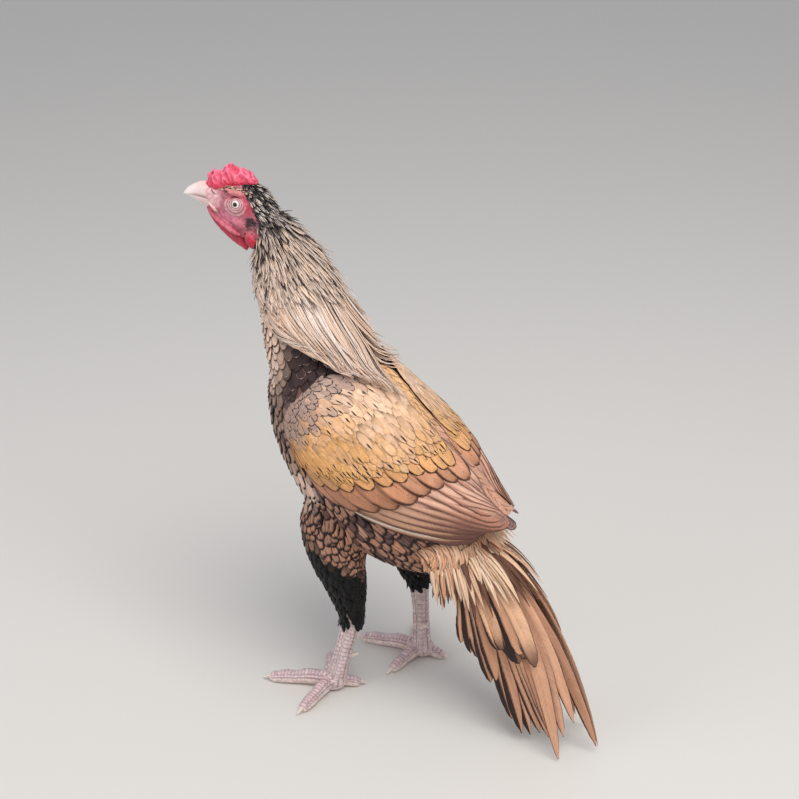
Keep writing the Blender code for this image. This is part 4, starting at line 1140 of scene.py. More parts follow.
def strap(a):
    """Half width of a quill feather along its length: parallel sides and a blunt tip."""
    return np.interp(a, (0, 0.1, 0.3, 0.7, 0.88, 0.96, 1.0), (0.4, 0.75, 0.96, 1.0, 0.85, 0.55, 0.2))


AXIS = np.concatenate([np.array(NECK)[:-1, :3], np.array(TORSO)[1:, :3]])


def flow(points):
    """The way the coat lies at each place: along the body's own line from the head to the tail."""
    smooth = through(AXIS, np.linspace(0, 1, 60))
    ahead = unit(np.gradient(smooth, axis=0))
    nearest = ((points[:, None] - smooth[None]) ** 2).sum(2).argmin(1)
    return ahead[nearest]


def on_surface(tree, points):
    """The nearest places of a surface, and its outward directions there."""
    found = [tree.find_nearest(point) for point in points.tolist()]
    return np.array([f[0][:] for f in found]), np.array([f[1][:] for f in found])


def sized(draw, at, stations, values, least, most):
    """Sizes read from a table by place, each then made a little smaller or larger by chance."""
    return np.interp(at, stations, values) * draw.uniform(least, most, len(at))


def eased(rows, made=np.asarray):
    """Each row but the first and last drawn halfway to the mean of its neighbours."""
    rows[:, 1:-1] = made(rows[:, 1:-1] * 0.5 + (rows[:, :-2] + rows[:, 2:]) * 0.25)
    return rows


def combed(tree, roots, lengths, heights, lie, rows):
    """Paths from roots along the lie of a surface, rising from the first height to the last."""
    lengths, low, high = (np.broadcast_to(np.asarray(v, float), (len(roots),)) for v in (lengths, *heights))
    here, out = on_surface(tree, roots)
    paths, outs = [], []
    for k in range(rows):
        lift = low + (high - low) * (k / (rows - 1))
        paths.append(here + out * lift[:, None])
        outs.append(out)
        way = lie(here) if callable(lie) else lie
        way = unit(way - out * (way * out).sum(1, keepdims=True))
        here, next_out = on_surface(tree, here + way * (lengths / (rows - 1))[:, None])
        out = unit(out * 0.5 + next_out * 0.5)
    return eased(np.stack(paths, 1)), eased(np.stack(outs, 1), unit)


def hung(tree, root, bend, tip, rows, heights):
    """Paths that hang in a bow from roots to tips, at least these heights over a surface all along."""
    a = np.linspace(0, 1, rows)[None, :, None]
    paths = root[:, None] * (1 - a) ** 2 + bend[:, None] * (2 * a * (1 - a)) + tip[:, None] * a**2
    flat = paths.reshape(-1, 3)
    on, out = on_surface(tree, flat)
    need = np.tile(heights, len(root))
    low = ((flat - on) * out).sum(1) < need
    flat = np.where(low[:, None], on + out * need[:, None], flat)
    return flat.reshape(paths.shape), out.reshape(paths.shape)


def feather_finish():
    """Plumage from its attributes: lacing along the outline, a shaft streak, a spot at the tip, and barbs."""
    soft = {"Roughness": 0.6, "Specular IOR Level": 0.22, "Sheen Weight": 0.03, "Sheen Roughness": 0.4}
    material, shader, node = finish_named("plumage", soft)

    def attribute(name, output="Vector"):
        return node("Attribute", {}, output, attribute_name=name)

    def parts(name):
        return node("SeparateXYZ", {"Vector": attribute(name)}).node.outputs[:3]

    def sum_of(operation, *values):
        return node("Math", dict(enumerate(values)), operation=operation)

    def product(first, second):
        return sum_of("MULTIPLY", first, second)

    def step(low, high, value):
        limits = {"Value": value, "From Min": low, "From Max": high}
        return node("MapRange", limits, interpolation_type="SMOOTHSTEP")

    def noise_at(x, y, z, detail):
        place = node("CombineXYZ", {"X": x, "Y": y, "Z": z})
        return node("TexNoise", {"Vector": place, "Scale": 1.0, "Detail": detail}, "Fac")

    across, along, seed = parts("barb")
    length, width, web = parts("grain")
    lace, streak, spot = parts("marks")
    off_shaft = sum_of("ABSOLUTE", across)
    # Barbs leave the shaft at a slant, so their lines are counted from where they started.
    start = sum_of("SUBTRACT", product(along, length), product(product(off_shaft, width), 0.42))
    barbs = noise_at(product(start, 1500.0), product(seed, 90.0), product(across, 0.6), 2.0)
    clouds = noise_at(product(across, 1.6), product(along, 3.2), product(seed, 70.0), 3.0)
    wobble = sum_of("MULTIPLY_ADD", clouds, 0.3, -0.15)
    fray = sum_of("MULTIPLY_ADD", barbs, 0.24, -0.12)
    # How near the tip, counted in half widths, so that the outline is as broad there as at the sides.
    to_tip = sum_of("DIVIDE", product(sum_of("SUBTRACT", 1.0, along), length), width)
    tipward = sum_of("MULTIPLY_ADD", to_tip, -2.0, 1.0)
    rim = sum_of("MAXIMUM", product(off_shaft, step(0.1, 0.75, along)), tipward)
    rim = sum_of("ADD", sum_of("ADD", rim, wobble), fray)
    inner = sum_of("SUBTRACT", 1.0, lace)
    laced = step(inner, sum_of("MULTIPLY_ADD", lace, 0.7, inner), rim)
    laced = product(laced, step(0.01, 0.06, lace))
    reach = product(streak, sum_of("SUBTRACT", 1.15, along))
    streaked = step(reach, product(reach, 0.4), sum_of("ADD", off_shaft, fray))
    streaked = product(streaked, step(0.01, 0.05, streak))
    beyond = product(sum_of("SUBTRACT", along, 0.88), 2.0)
    spot_place = node("CombineXYZ", {"X": product(across, 2.2), "Y": beyond})
    from_spot = node("VectorMath", {0: spot_place}, "Value", operation="LENGTH")
    spotted = step(spot, product(spot, 0.55), sum_of("ADD", from_spot, wobble))
    spotted = product(spotted, step(0.01, 0.05, spot))
    # One web of a quill may be dark toward the tip: the sign tells which.
    slant = sum_of("MULTIPLY_ADD", product(across, sum_of("SIGN", web)), 0.6, product(along, 0.5))
    margin = sum_of("SUBTRACT", 1.0, sum_of("ABSOLUTE", web))
    webbed = step(margin, sum_of("ADD", margin, 0.2), sum_of("ADD", slant, fray))
    webbed = product(webbed, step(0.01, 0.05, sum_of("ABSOLUTE", web)))
    marked = sum_of("MAXIMUM", sum_of("MAXIMUM", laced, streaked), sum_of("MAXIMUM", spotted, webbed))
    tones = {"Factor": marked, "A": attribute("tint", "Color"), "B": attribute("trim", "Color")}
    colour = node("Mix", tones, "Result", data_type="RGBA")
    limits = {"From Min": 0.3, "From Max": 0.7, "To Min": 0.66, "To Max": 1.24}
    shade = node("MapRange", {"Value": sum_of("MULTIPLY_ADD", clouds, 0.5, product(barbs, 0.5)), **limits})
    # The base of a feather is downy and lies in the shade of the one over it.
    depth = sum_of("MULTIPLY_ADD", step(0.0, 0.4, along), 0.4, 0.6)
    tone = node("VectorMath", {0: colour, "Scale": product(shade, depth)}, operation="SCALE")
    shaft = product(step(0.14, 0.03, off_shaft), 0.6)
    bump = node("Bump", {"Strength": 0.5, "Distance": 0.0005, "Height": sum_of("ADD", barbs, shaft)})
    fill(shader, {"Base Color": tone, "Normal": bump})
    return material


PLUMAGE = feather_finish()


def finished(coat, slot, *nodes):
    piece = coat.made()
    piece.data.materials.append(PLUMAGE)
    return settle(piece, slot, *nodes)


def lattice(form, u_from, u_to, turn_from, turn_to, spacing_along, spacing_round, draw, slip=0.3):
    """Staggered, jittered rows of places on a form: the share of its length and the turn of each."""
    us, turns = [], []
    u = u_from
    row = 0
    while u < u_to:
        here = form.at(np.array([u, u]), np.array([0.0, 0.25]))
        centre = form.section(np.array([u]))[0][0]
        girth = math.tau * np.sqrt((np.linalg.norm(here - centre, axis=1) ** 2).mean())
        count = max(int(girth * (turn_to - turn_from) / spacing_round), 2)
        steps = np.arange(count) + 0.5 * (row % 2) + draw.uniform(-slip, slip, count)
        turns.append(turn_from + steps * (turn_to - turn_from) / count)
        us.append(np.full(count, u))
        step = form.section(np.array([u, min(u + 0.02, 1.0)]))[0]
        per_u = np.linalg.norm(step[1] - step[0]) / max(min(u + 0.02, 1.0) - u, 1e-6)
        us[-1] = us[-1] + draw.uniform(-slip, slip, count) * spacing_along / per_u
        u += spacing_along / per_u
        row += 1
    return np.clip(np.concatenate(us), 0, 1), np.concatenate(turns)


# The wings' shapes. Each has a flesh plate under its outer face, which carries the quills. The outer face
# runs in s from the shoulder to the tip, and in t from the upper edge to the lower one.

# Stations of the left wing's face, front to tip: upper edge, middle of the width, lower edge.
WING = (
    (0.05, -0.052, 0.39, 0.066, -0.074, 0.35, 0.06, -0.064, 0.306),
    (0.048, -0.026, 0.402, 0.082, -0.04, 0.352, 0.077, -0.036, 0.29),
    (0.024, 0.004, 0.402, 0.086, -0.006, 0.345, 0.081, -0.002, 0.275),
    (0.013, 0.034, 0.386, 0.084, 0.028, 0.332, 0.079, 0.03, 0.266),
    (0.011, 0.065, 0.359, 0.076, 0.062, 0.318, 0.069, 0.064, 0.257),
    (0.01, 0.095, 0.335, 0.063, 0.094, 0.305, 0.056, 0.098, 0.25),
    (0.01, 0.126, 0.308, 0.045, 0.125, 0.291, 0.044, 0.129, 0.25),
    (0.01, 0.152, 0.286, 0.028, 0.152, 0.279, 0.032, 0.156, 0.26),
    (0.012, 0.176, 0.272, 0.016, 0.176, 0.27, 0.018, 0.176, 0.266),
)
WING_SHORT = {1.0: 0.0, -1.0: 0.011}
WING_SUNK = 0.0016


class Wing:
    """A wing's outer face."""

    def __init__(self, side):
        self.side = side

    def flat(self, s, t):
        s, t = np.broadcast_arrays(np.asarray(s, float), np.asarray(t, float))
        row = through(WING, s)
        t = t[..., None]
        shares = ((1 - t) * (1 - 2 * t), 4 * t * (1 - t), t * (2 * t - 1))
        point = row[..., :3] * shares[0] + row[..., 3:6] * shares[1] + row[..., 6:] * shares[2]
        onward = through(WING, np.array(1.0)) - through(WING, np.array(0.96))
        beyond = np.maximum(s - 1, 0)[..., None] * onward[..., :3] * 25
        point = point + beyond
        point[..., 1] -= WING_SHORT[self.side] * s * s
        point[..., 0] *= self.side
        return point

    def normal(self, s, t):
        s, t = np.broadcast_arrays(np.asarray(s, float), np.asarray(t, float))
        s, t = np.clip(s, 0.01, 0.99), np.clip(t, 0.02, 0.98)
        down = self.flat(s, t + 0.02) - self.flat(s, t - 0.02)
        back = self.flat(s + 0.01, t) - self.flat(s - 0.01, t)
        return unit(np.cross(down, back)) * self.side

    def face(self, s, t, lift=0.0):
        return self.flat(s, t) + self.normal(s, t) * np.asarray(lift, float)[..., None]

    def grid(self, s_span, t_span, lift, rows=40, columns=16):
        s, t = np.meshgrid(np.linspace(*s_span, rows), np.linspace(*t_span, columns), indexing="ij")
        return self.face(s, t, np.full(s.shape, lift))


def sheet(points):
    """Points and faces of an open surface over a grid of points."""
    rows, columns = points.shape[:2]
    faces = []
    for i in range(rows - 1):
        a, b = i * columns, (i + 1) * columns
        j = np.arange(columns - 1)
        faces += np.stack([a + j, a + j + 1, b + j + 1, b + j], 1).tolist()
    return points.reshape(-1, 3), faces


WINGS = {label: Wing(side) for label, side in SIDES}


def wing_flesh(label):
    """The closed plate under a wing's coat."""
    shape = WINGS[label]
    s, t = np.linspace(0.0, 0.74, 30), np.linspace(0.02, 0.97, 14)
    depth = np.interp(s, np.linspace(0, 1, 9), (0.014, 0.014, 0.012, 0.01, 0.008, 0.006, 0.005, 0.004, 0.003))
    outer = shape.face(s[:, None], t[None], np.full((30, 14), -WING_SUNK))
    inner = shape.face(s[:, None], t[None, ::-1], -np.repeat(depth[:, None], 14, 1))
    piece = add("wing_flesh_" + label, mesh_of("wing_flesh", [shell(np.concatenate([outer, inner], 1))]))
    write(piece.data, "tint", np.tile(UNDER_BUFF, (len(piece.data.vertices), 1)))
    piece.data.materials.append(SKIN_FINISH)
    return settle(piece, "face_skin", "wing_" + label)


for label, _ in SIDES:
    wing_flesh(label)


# The body's plumage. Small scale-like feathers on breast, belly, flanks and thighs, laced dark on buff in
# front, brown with dark borders on the flanks, and black down the drumsticks.


def outward(points, faces):
    """The same surface with its faces turned outward: away from its middle."""
    corners = np.array([face[:3] for face in faces])
    a, b, c = points[corners[:, 0]], points[corners[:, 1]], points[corners[:, 2]]
    facing = (np.cross(b - a, c - a) * (a - points.mean(0))).sum()
    return points, faces if facing > 0 else [face[::-1] for face in faces]


def tree_of(*lots):
    points, faces, base = [], [], 0
    for some_points, some_faces in (outward(*lot) for lot in lots):
        points += [Vector(p) for p in some_points]
        faces += [[base + i for i in face] for face in some_faces]
        base += len(some_points)
    return BVHTree.FromPolygons(points, faces)


wing_shade = tree_of(*[sheet(shape.grid((0.03, 0.9), (0.06, 0.88), 0.0)) for shape in WINGS.values()])


def shaded(points, out, reach=0.045):
    """True where a wing lies over a place on the body."""
    starts = points + out * 0.001
    return np.array(
        [wing_shade.ray_cast(Vector(p), Vector(n), reach)[0] is not None for p, n in zip(starts, out)]
    )


def mix(first, second, share):
    share = np.asarray(share, float)[..., None]
    return np.asarray(first) * (1 - share) + np.asarray(second) * share


def varied(draw, colours, amount=0.12):
    """Each feather a little lighter or darker, and warmer or cooler, than the rest."""
    light = 1 + draw.normal(0, amount, (len(colours), 1))
    warm = draw.normal(0, amount * 0.3, (len(colours), 1)) * np.array((1.0, 0.1, -1.0))
    return np.clip(colours * light * (1 + warm), 0.002, 0.95)


# The cape's tips on one side, from the breast round to the middle of the back.
CAPE_TIPS = (
    (0.034, -0.122, 0.468),
    (0.048, -0.088, 0.452),
    (0.054, -0.062, 0.438),
    (0.052, -0.034, 0.424),
    (0.042, -0.004, 0.408),
    (0.028, 0.022, 0.392),
    (0.012, 0.048, 0.368),
)


def over_cape_edge(points):
    """How far places lie over the lower edge of the hackle cape."""
    line = np.array(CAPE_TIPS)
    return points[:, 2] - np.interp(points[:, 1], line[:, 1], line[:, 2])


# The turns between which each side of the body lies.
HALF_ROUND = {"left": (-0.25, 0.25), "right": (0.25, 0.75)}
PALE_PLUME = (0.06, -0.075, 0.275)


def body_coat(label):
    coat = Coat("body_coat", 21, label)
    draw = coat.draw
    first, last = HALF_ROUND[label]
    found = []
    for form, u_from, u_to, shift in (
        (Form(TORSO, COAT), 0.1, 0.97, 0.0), (Form(NECK, COAT), 0.3, 0.95, 0.5),
    ):
        u, turn = lattice(form, u_from, u_to, first, last, 0.0092, 0.0098, draw)
        roots = form.at(u, turn)
        on, out = on_surface(ground, roots)
        keep = (np.linalg.norm(on - roots, axis=1) < 0.0035) & ~shaded(on, out) & (over_cape_edge(on) < 0.014)
        home = np.stack([0.02 + 0.96 * (turn - first) / 0.5, shift + 0.02 + 0.46 * u], 1)
        found.append(np.concatenate([on, out, home], 1)[keep])
    on, out, homes = np.split(np.concatenate(found), (3, 6), axis=1)
    x, y, z = on.T
    count = len(on)
    heights = (0.14, 0.22, 0.32, 0.42)
    length = sized(draw, z, heights, (0.03, 0.028, 0.026, 0.021), 0.9, 1.15)
    width = sized(draw, z, heights, (0.0175, 0.017, 0.016, 0.013), 0.9, 1.1)
    # A few large pale feathers hang before the fold of the wing.
    pale = near(np.stack([np.abs(x), y, z], 1), PALE_PLUME, (0.05, 0.034, 0.04))
    length = length * (1 + 0.35 * pale)
    width = width * (1 + 0.35 * pale)
    paths, outs = combed(ground, on, length, (0.0006, 0.0042), flow, 8)
    collar = blend(0.35, 0.385, z) * blend(-0.105, -0.075, y)
    lower = blend(0.315, 0.265, z)
    deep = blend(0.405, 0.365, z)
    tint = mix(mix(srgb(236, 204, 182), srgb(172, 138, 122), deep), srgb(178, 130, 106), lower)
    tint = mix(tint, srgb(60, 43, 43), collar)
    tint[draw.uniform(0, 1, count) < 0.25 * deep] = srgb(104, 76, 70)
    tint = mix(tint, srgb(214, 182, 164), pale)
    trim = mix(srgb(74, 49, 45), srgb(42, 30, 32), deep)
    trim = mix(trim, srgb(168, 138, 128), collar * (draw.uniform(0, 1, count) < 0.6))
    lace = (0.48 + 0.22 * deep - 0.28 * pale) * draw.uniform(0.85, 1.15, count)
    marks = np.stack(
        [np.where(collar > 0.3, 0.22, lace), draw.uniform(0, 0.22, count) * lower, np.zeros(count)], 1,
    )
    coat.lay(paths, outs, width, homes, varied(draw, tint), varied(draw, trim), marks, rounded, 5, 0.16, 0.0)
    return finished(coat, "body_feather")


def thigh_coat(label, side):
    coat = Coat("thigh_coat", 31, label)
    draw = coat.draw
    form = Form(thigh_stations(label, side), COAT)
    u, turn = lattice(form, 0.02, 0.99, 0.0, 1.0, 0.0072, 0.0074, draw)
    roots = form.at(u, turn)
    on, out = on_surface(ground, roots)
    keep = (np.linalg.norm(on - roots, axis=1) < 0.004) & ~shaded(on, out)
    u, turn, on = u[keep], turn[keep], on[keep]
    z = on[:, 2]
    length = sized(draw, u, (0, 0.5, 0.8, 1), (0.027, 0.021, 0.016, 0.011), 0.9, 1.15)
    width = sized(draw, u, (0, 0.5, 0.8, 1), (0.016, 0.011, 0.0085, 0.0065), 0.9, 1.1)
    stations = np.array(thigh_stations(label, side))
    line = through(stations, np.linspace(0, 1, 40))[:, :3]
    ahead = unit(np.gradient(line, axis=0))

    def down(points):
        nearest = ((points[:, None] - line[None]) ** 2).sum(2).argmin(1)
        return unit(ahead[nearest] + (0.0, 0.25, 0.0))

    paths, outs = combed(ground, on, length, (0.0006, 0.0042), down, 7)
    over_black = z - np.interp(on[:, 1], (-0.06, 0.01), (0.226, 0.186)) + draw.normal(0, 0.004, len(z))
    black = blend(0.01, -0.008, over_black)
    tint = mix(srgb(178, 130, 106), srgb(4, 3, 5), black)
    trim = mix(srgb(38, 28, 30), srgb(44, 38, 44), black)
    marks = np.stack(
        [np.interp(black, (0, 0.8, 1), (0.72, 0.5, 0.0)), draw.uniform(0, 0.2, len(u)), np.zeros(len(u))], 1,
    )
    speckled = (black > 0.9) & (draw.uniform(0, 1, len(u)) < 0.25) & (z < 0.17)
    marks[speckled, 2] = 0.35
    homes = np.stack([0.02 + 0.96 * (turn % 1.0), 0.02 + 0.96 * u], 1)
    coat.lay(paths, outs, width, homes, varied(draw, tint), varied(draw, trim), marks, rounded, 5, 0.14, 0.0)
    return finished(coat, "thigh_feather")


for label, side in SIDES:
    body_coat(label)
    thigh_coat(label, side)


# The wings' plumage. Small coverts in rows over the shoulder, three tiers of larger rounded coverts, then
# the long straight secondaries and the ends of the primaries, each tier over the roots of the next.

# Where the tips of the two lower tiers of large coverts lie on the wing, from the lower front to the upper
# back.
MEDIAN_LINE = np.array(((0.24, 0.85), (0.37, 0.73), (0.49, 0.56), (0.58, 0.38), (0.65, 0.2), (0.68, 0.06)))
GREATER_LINE = np.array(
    ((0.29, 0.95), (0.41, 0.88), (0.52, 0.76), (0.6, 0.59), (0.66, 0.41), (0.705, 0.22), (0.73, 0.06))
)
# The larger coverts, the lowest tier first: the line of their tips, the step back to their roots, width,
# lifts at root, middle and tip, how many, the two tints, the dark edge and its width.
LARGE_COVERTS = (
    (
        GREATER_LINE + (0.018, 0.0), (0.19, 0.13), 0.027, (-0.0004, 0.0018, 0.0026), 9,
        srgb(204, 146, 112), srgb(190, 132, 102), srgb(104, 64, 52), 0.34,
    ),
    (
        MEDIAN_LINE + (0.012, 0.01), (0.13, 0.11), 0.02, (0.0, 0.0022, 0.0032), 10, srgb(224, 166, 112),
        srgb(210, 152, 102), srgb(62, 40, 36), 0.3,
    ),
    (
        MEDIAN_LINE - (0.04, 0.03), (0.1, 0.09), 0.014, (-0.0004, 0.001, 0.003), 15, srgb(224, 172, 114),
        srgb(212, 158, 106), srgb(52, 34, 32), 0.1,
    ),
)
# The length of a wing's face, and its width, for turning lengths into shares.
FACE_LONG, FACE_WIDE = 0.25, 0.115


def on_line(line, f):
    at = np.linspace(0, 1, len(line))
    return np.stack([np.interp(f, at, line[:, 0]), np.interp(f, at, line[:, 1])], 1)


def laid(shape, start, end, lifts, rows, sag=0.0):
    """Paths on a wing's face from one (s, t) to another, with lifts given at root, middle and tip."""
    a = np.linspace(0, 1, rows)
    st = start[:, None] + (end - start)[:, None] * a[None, :, None]
    st[..., 1] += sag * np.sin(a * math.pi)[None]
    lift = np.interp(a, (0, 0.4, 1), lifts)[None] * np.ones((len(start), 1))
    return shape.face(st[..., 0], st[..., 1], lift), shape.normal(st[..., 0], st[..., 1])


def tilted(outs, shape, amount):
    """Outward directions leaning to the wing's upper edge, so each lower edge stands over the next."""
    up = unit(shape.flat(np.array(0.4), np.array(0.1)) - shape.flat(np.array(0.4), np.array(0.9)))
    return unit(outs + up * amount)


def wing_home(st):
    return np.stack([0.02 + 0.9 * np.clip(st[:, 0], 0, 1.05), 0.02 + 0.94 * np.clip(st[:, 1], 0, 1)], 1)


def wing_coat(label, side):
    coat = Coat("wing_coat", 41, label)
    draw = coat.draw
    shape = WINGS[label]
    # Flights, the lowest first so that each upper one lies over it.
    count = 10
    f = np.linspace(1, 0, count)
    start = np.stack([0.44 - 0.1 * f, 0.06 + 0.9 * f], 1)
    reach = 0.8 + 0.2 * np.sin(math.pi * np.minimum(f * 0.8 + 0.02, 0.5)) - 0.4 * np.maximum(f - 0.62, 0)
    end = np.stack([reach + draw.uniform(-0.008, 0.008, count), 0.05 + 0.93 * f], 1)
    paths, outs = laid(shape, start, end, (-0.0012, 0.0004, 0.0003), 26)
    paths += outs * (np.linspace(0, 0.001, count))[:, None, None]
    dusky = blend(0.3, 1.0, f)
    tint = mix(srgb(224, 176, 152), srgb(204, 156, 126), dusky)
    trim = mix(srgb(178, 124, 104), srgb(112, 74, 64), dusky)
    marks = per_feather(count, np.interp(f, (0, 1), (0.12, 0.2)), 0.0, 0.0)
    web = side * np.interp(f, (0, 0.4, 1), (0.32, 0.36, 0.46))
    coat.lay(
        paths, tilted(outs, shape, 0.03), 0.0275, wing_home(start + (end - start) * 0.3),
        varied(draw, tint, 0.05), trim, marks, strap, 9, 0.015, 0.25, web=web, tips=srgb(142, 104, 92),
        fade=0.78,
    )
    # Pale outer edges of the folded primaries, under the lower edge.
    count = 4
    f = np.linspace(0, 1, count)
    start = np.stack([0.26 + 0.05 * f, 0.965 + 0.02 * f], 1)
    end = np.stack([0.78 + 0.05 * f, 0.99 - 0.03 * f], 1)
    paths, outs = laid(shape, start, end, (-0.0004, 0.0012, 0.0004), 22, 0.02)
    paths -= outs * (np.linspace(0.0, 0.003, count))[:, None, None]
    tint = np.tile(srgb(228, 204, 186), (count, 1))
    marks = (0.2, 0.0, 0.0)
    coat.lay(
        paths, tilted(outs, shape, -0.2), 0.0075, wing_home(start), varied(draw, tint, 0.04),
        srgb(118, 92, 88), marks, strap, 5, 0.1, 0.2,
    )
    # The dusky points of the innermost primaries, beyond the secondaries.
    f = np.linspace(0, 1, 4)
    start = np.stack([0.8 - 0.04 * f, 0.35 + 0.3 * f], 1)
    end = np.stack([1.045 - 0.05 * f, 0.3 + 0.35 * f], 1)
    paths, outs = laid(shape, start, end, (-0.0052, -0.0042, -0.0014), 14)
    marks = (0.25, 0.0, 0.0)
    coat.lay(
        paths, outs, 0.015, wing_home(start), varied(draw, np.tile(srgb(134, 104, 98), (4, 1)), 0.05),
        srgb(92, 72, 72), marks, strap, 7, 0.05, 0.2,
    )
    # Three tiers of larger coverts, the lowest first.
    for line, back, width, lifts, number, first_tint, second_tint, edge, lace in LARGE_COVERTS:
        f = np.linspace(0, 1, number) + draw.uniform(-0.012, 0.012, number)
        end = on_line(line, f) + draw.uniform(-0.006, 0.006, (number, 2))
        start = end - np.array(back)
        start[:, 1] = np.maximum(start[:, 1], 0.01)
        paths, outs = laid(shape, start, end, lifts, 12)
        tint = mix(second_tint, first_tint, f)
        marks = per_feather(number, lace, 0.04, 0.5 if lace < 0.2 else 0.0)
        coat.lay(
            paths, tilted(outs, shape, 0.04 if lace < 0.2 else 0.1), width * draw.uniform(0.92, 1.08, number),
            wing_home(start), varied(draw, tint, 0.07), edge, marks, rounded, 7, 0.05,
            tips=tint * (0.62 if lace > 0.32 else 0.95),
        )
    # Small coverts over the shoulder and the bow.
    rows = []
    for index, s in enumerate(np.arange(-0.015, 0.62, 0.018)):
        t = np.arange(0.0, 1.0, 0.05) + 0.025 * (index % 2)
        rows.append(np.stack([np.full(len(t), s), t], 1))
    root = np.concatenate(rows)
    root += draw.normal(0, 1, root.shape) * (0.005, 0.012)
    limit = np.interp(root[:, 1], MEDIAN_LINE[::-1, 1], MEDIAN_LINE[::-1, 0]) - 0.16
    keep = (root[:, 0] < limit) & (root[:, 1] > -0.01) & (root[:, 1] < 1.0)
    root, limit = root[keep], limit[keep]
    root = np.clip(root, (0.0, 0.0), (0.7, 0.99))
    s, t = root.T
    number = len(root)
    length = sized(draw, s, (0, 0.15, 0.5), (0.014, 0.02, 0.027), 0.8, 1.2)
    lean = np.interp(t, (0, 0.5, 1), (0.05, 0.3, 0.1))[:, None]
    way = unit(np.concatenate([1 - lean, lean], 1))
    end = root + way * (length[:, None] / (FACE_LONG, FACE_WIDE))
    end[:, 1] = np.clip(end[:, 1], 0, 1.03)
    paths, outs = laid(shape, root, end, (0.0005, 0.0008, 0.0009), 8)
    # The last rows lie up on the roots of the larger coverts.
    raised = 0.003 * blend(-0.2, -0.02, s - limit) + draw.uniform(0, 0.0003, number)
    paths += outs * raised[:, None, None] * np.linspace(0.4, 1, 8)[None, :, None]
    border = np.interp(t, (0, 0.5, 1), (0.24, 0.17, 0.05))
    grey = blend(0.0, 1.0, border / 0.1 - s / 0.1 + draw.normal(0, 0.35, number))
    low = blend(0.6, 0.98, t)
    # Toward the wing's upper edge the bow turns pale peach: partly the plumage's own colour, partly a painted
    # highlight.
    gold = mix(srgb(246, 208, 176), srgb(218, 162, 100), blend(0.06, 0.45, t + draw.normal(0, 0.05, number)))
    gold = mix(gold, srgb(220, 168, 108), blend(0.35, 0.5, s))
    gold = mix(gold, srgb(212, 168, 140), draw.uniform(0, 1, number) * blend(0.7, 0.4, t) * 0.6)
    tint = mix(gold, srgb(166, 140, 132), grey * 0.85)
    tint = mix(tint, srgb(196, 142, 102), low * 0.7)
    trim = mix(srgb(40, 27, 26), srgb(62, 44, 46), grey)
    share = np.interp(t, (0, 0.3, 0.5, 1.0), (0.35, 0.5, 0.85, 0.85)) * (1 - grey) * blend(0.05, 0.2, s)
    dashed = draw.uniform(0, 1, number) < share
    marks = per_feather(number, grey * 0.42, 0.0, np.where(dashed, draw.uniform(0.42, 0.66, number), 0.0))
    width = sized(draw, s, (0, 0.15, 0.5), (0.008, 0.01, 0.012), 0.85, 1.1)
    coat.lay(
        paths, outs, width, wing_home(root), varied(draw, tint, 0.04), varied(draw, trim), marks, rounded, 5,
        0.02, 0.1, 0.00015,
    )
    return finished(coat, "wing_feather")


def ridge_coat():
    """Feathers down the middle of the back: a strip between the wings, and one under it to the rump."""
    coat = Coat("ridge_coat", 45)
    draw = coat.draw
    edge = np.stack([WINGS["left"].flat(np.linspace(0, 1, 60), 0.0)], 0)[0]
    wing_tints = mix(srgb(228, 180, 132), srgb(206, 156, 130), blend(0.3, 0.45, np.arange(0.8, 0.1, -0.03)))
    for stations, columns, drop, width, outline in (
        (np.arange(0.8, 0.44, -0.03), (-0.015, -0.009, -0.003, 0.003, 0.009, 0.015), 0.037, 0.0095, pointed),
        (np.arange(0.8, 0.1, -0.03), (-0.0065, 0.0, 0.0065), 0.0, 0.017, rounded),
    ):
        s = np.repeat(stations, len(columns))
        x = np.tile(columns, len(stations)) + draw.normal(0, 0.0012, len(s))
        a = np.linspace(0, 1, 8)
        along_s = s[:, None] + a[None] * 0.17
        y = np.interp(along_s, np.linspace(0, 1, 60), edge[:, 1])
        z = np.interp(along_s, np.linspace(0, 1, 60), edge[:, 2])
        rise = np.interp(s, (0.1, 0.3, 0.6, 1.0), (0.004, 0.002, 0.001, 0.0))[:, None]
        rise = rise - 0.0062 + 0.003 * a[None]
        rise = rise - drop * np.interp(along_s, (0.45, 0.7, 0.97), (0.2, 0.55, 1.0))
        paths = np.stack([np.repeat(x[:, None], 8, 1), y, z + rise], 2)
        out = np.array((0.0, 0.62, 0.78)) + np.stack([x * 30, 0 * x, 0 * x], 1)
        outs = np.repeat(unit(out)[:, None], 8, 1)
        tint = np.repeat(wing_tints, 3, axis=0) if drop == 0 else mix(
            srgb(236, 202, 170), srgb(216, 162, 128), draw.uniform(0, 1, len(s)),
        )
        spots = np.where((draw.uniform(0, 1, len(s)) < 0.4) & (s < 0.4), 0.3, 0.0)
        marks = np.stack([np.zeros(len(s)), np.zeros(len(s)), spots], 1)
        homes = np.stack([0.5 + x * 20, (0.02 if drop == 0 else 0.3) + 0.6 * s], 1)
        coat.lay(
            paths, outs, width, homes, varied(draw, tint, 0.05), srgb(60, 42, 40),
            marks, outline, 7, 0.16,
        )
    return finished(coat, "wing_feather")


for label, side in SIDES:
    wing_coat(label, side)
ridge_coat()


# The hackles. Narrow pointed feathers in dense rows round the neck, short and flecked on the nape, longer and
# blonder down to a cape that falls over the shoulders and the roots of the wings.

shoulders = tree_of(
    *[sheet(shape.grid((0.0, 0.9), (0.0, 1.0), 0.0036)) for shape in WINGS.values()],
    shell(Form(NECK, COAT).rings(40, 40)),
    shell(Form(TORSO, 0.0).rings(40, 40, 0.08, 1.0)),
)


def hackle_flow(points):
    """Down the neck, and more and more backward toward the shoulders."""
    back = blend(0.54, 0.44, points[:, 2])[:, None] * (0.0, 0.75, 0.12)
    return unit(flow(points) + back)


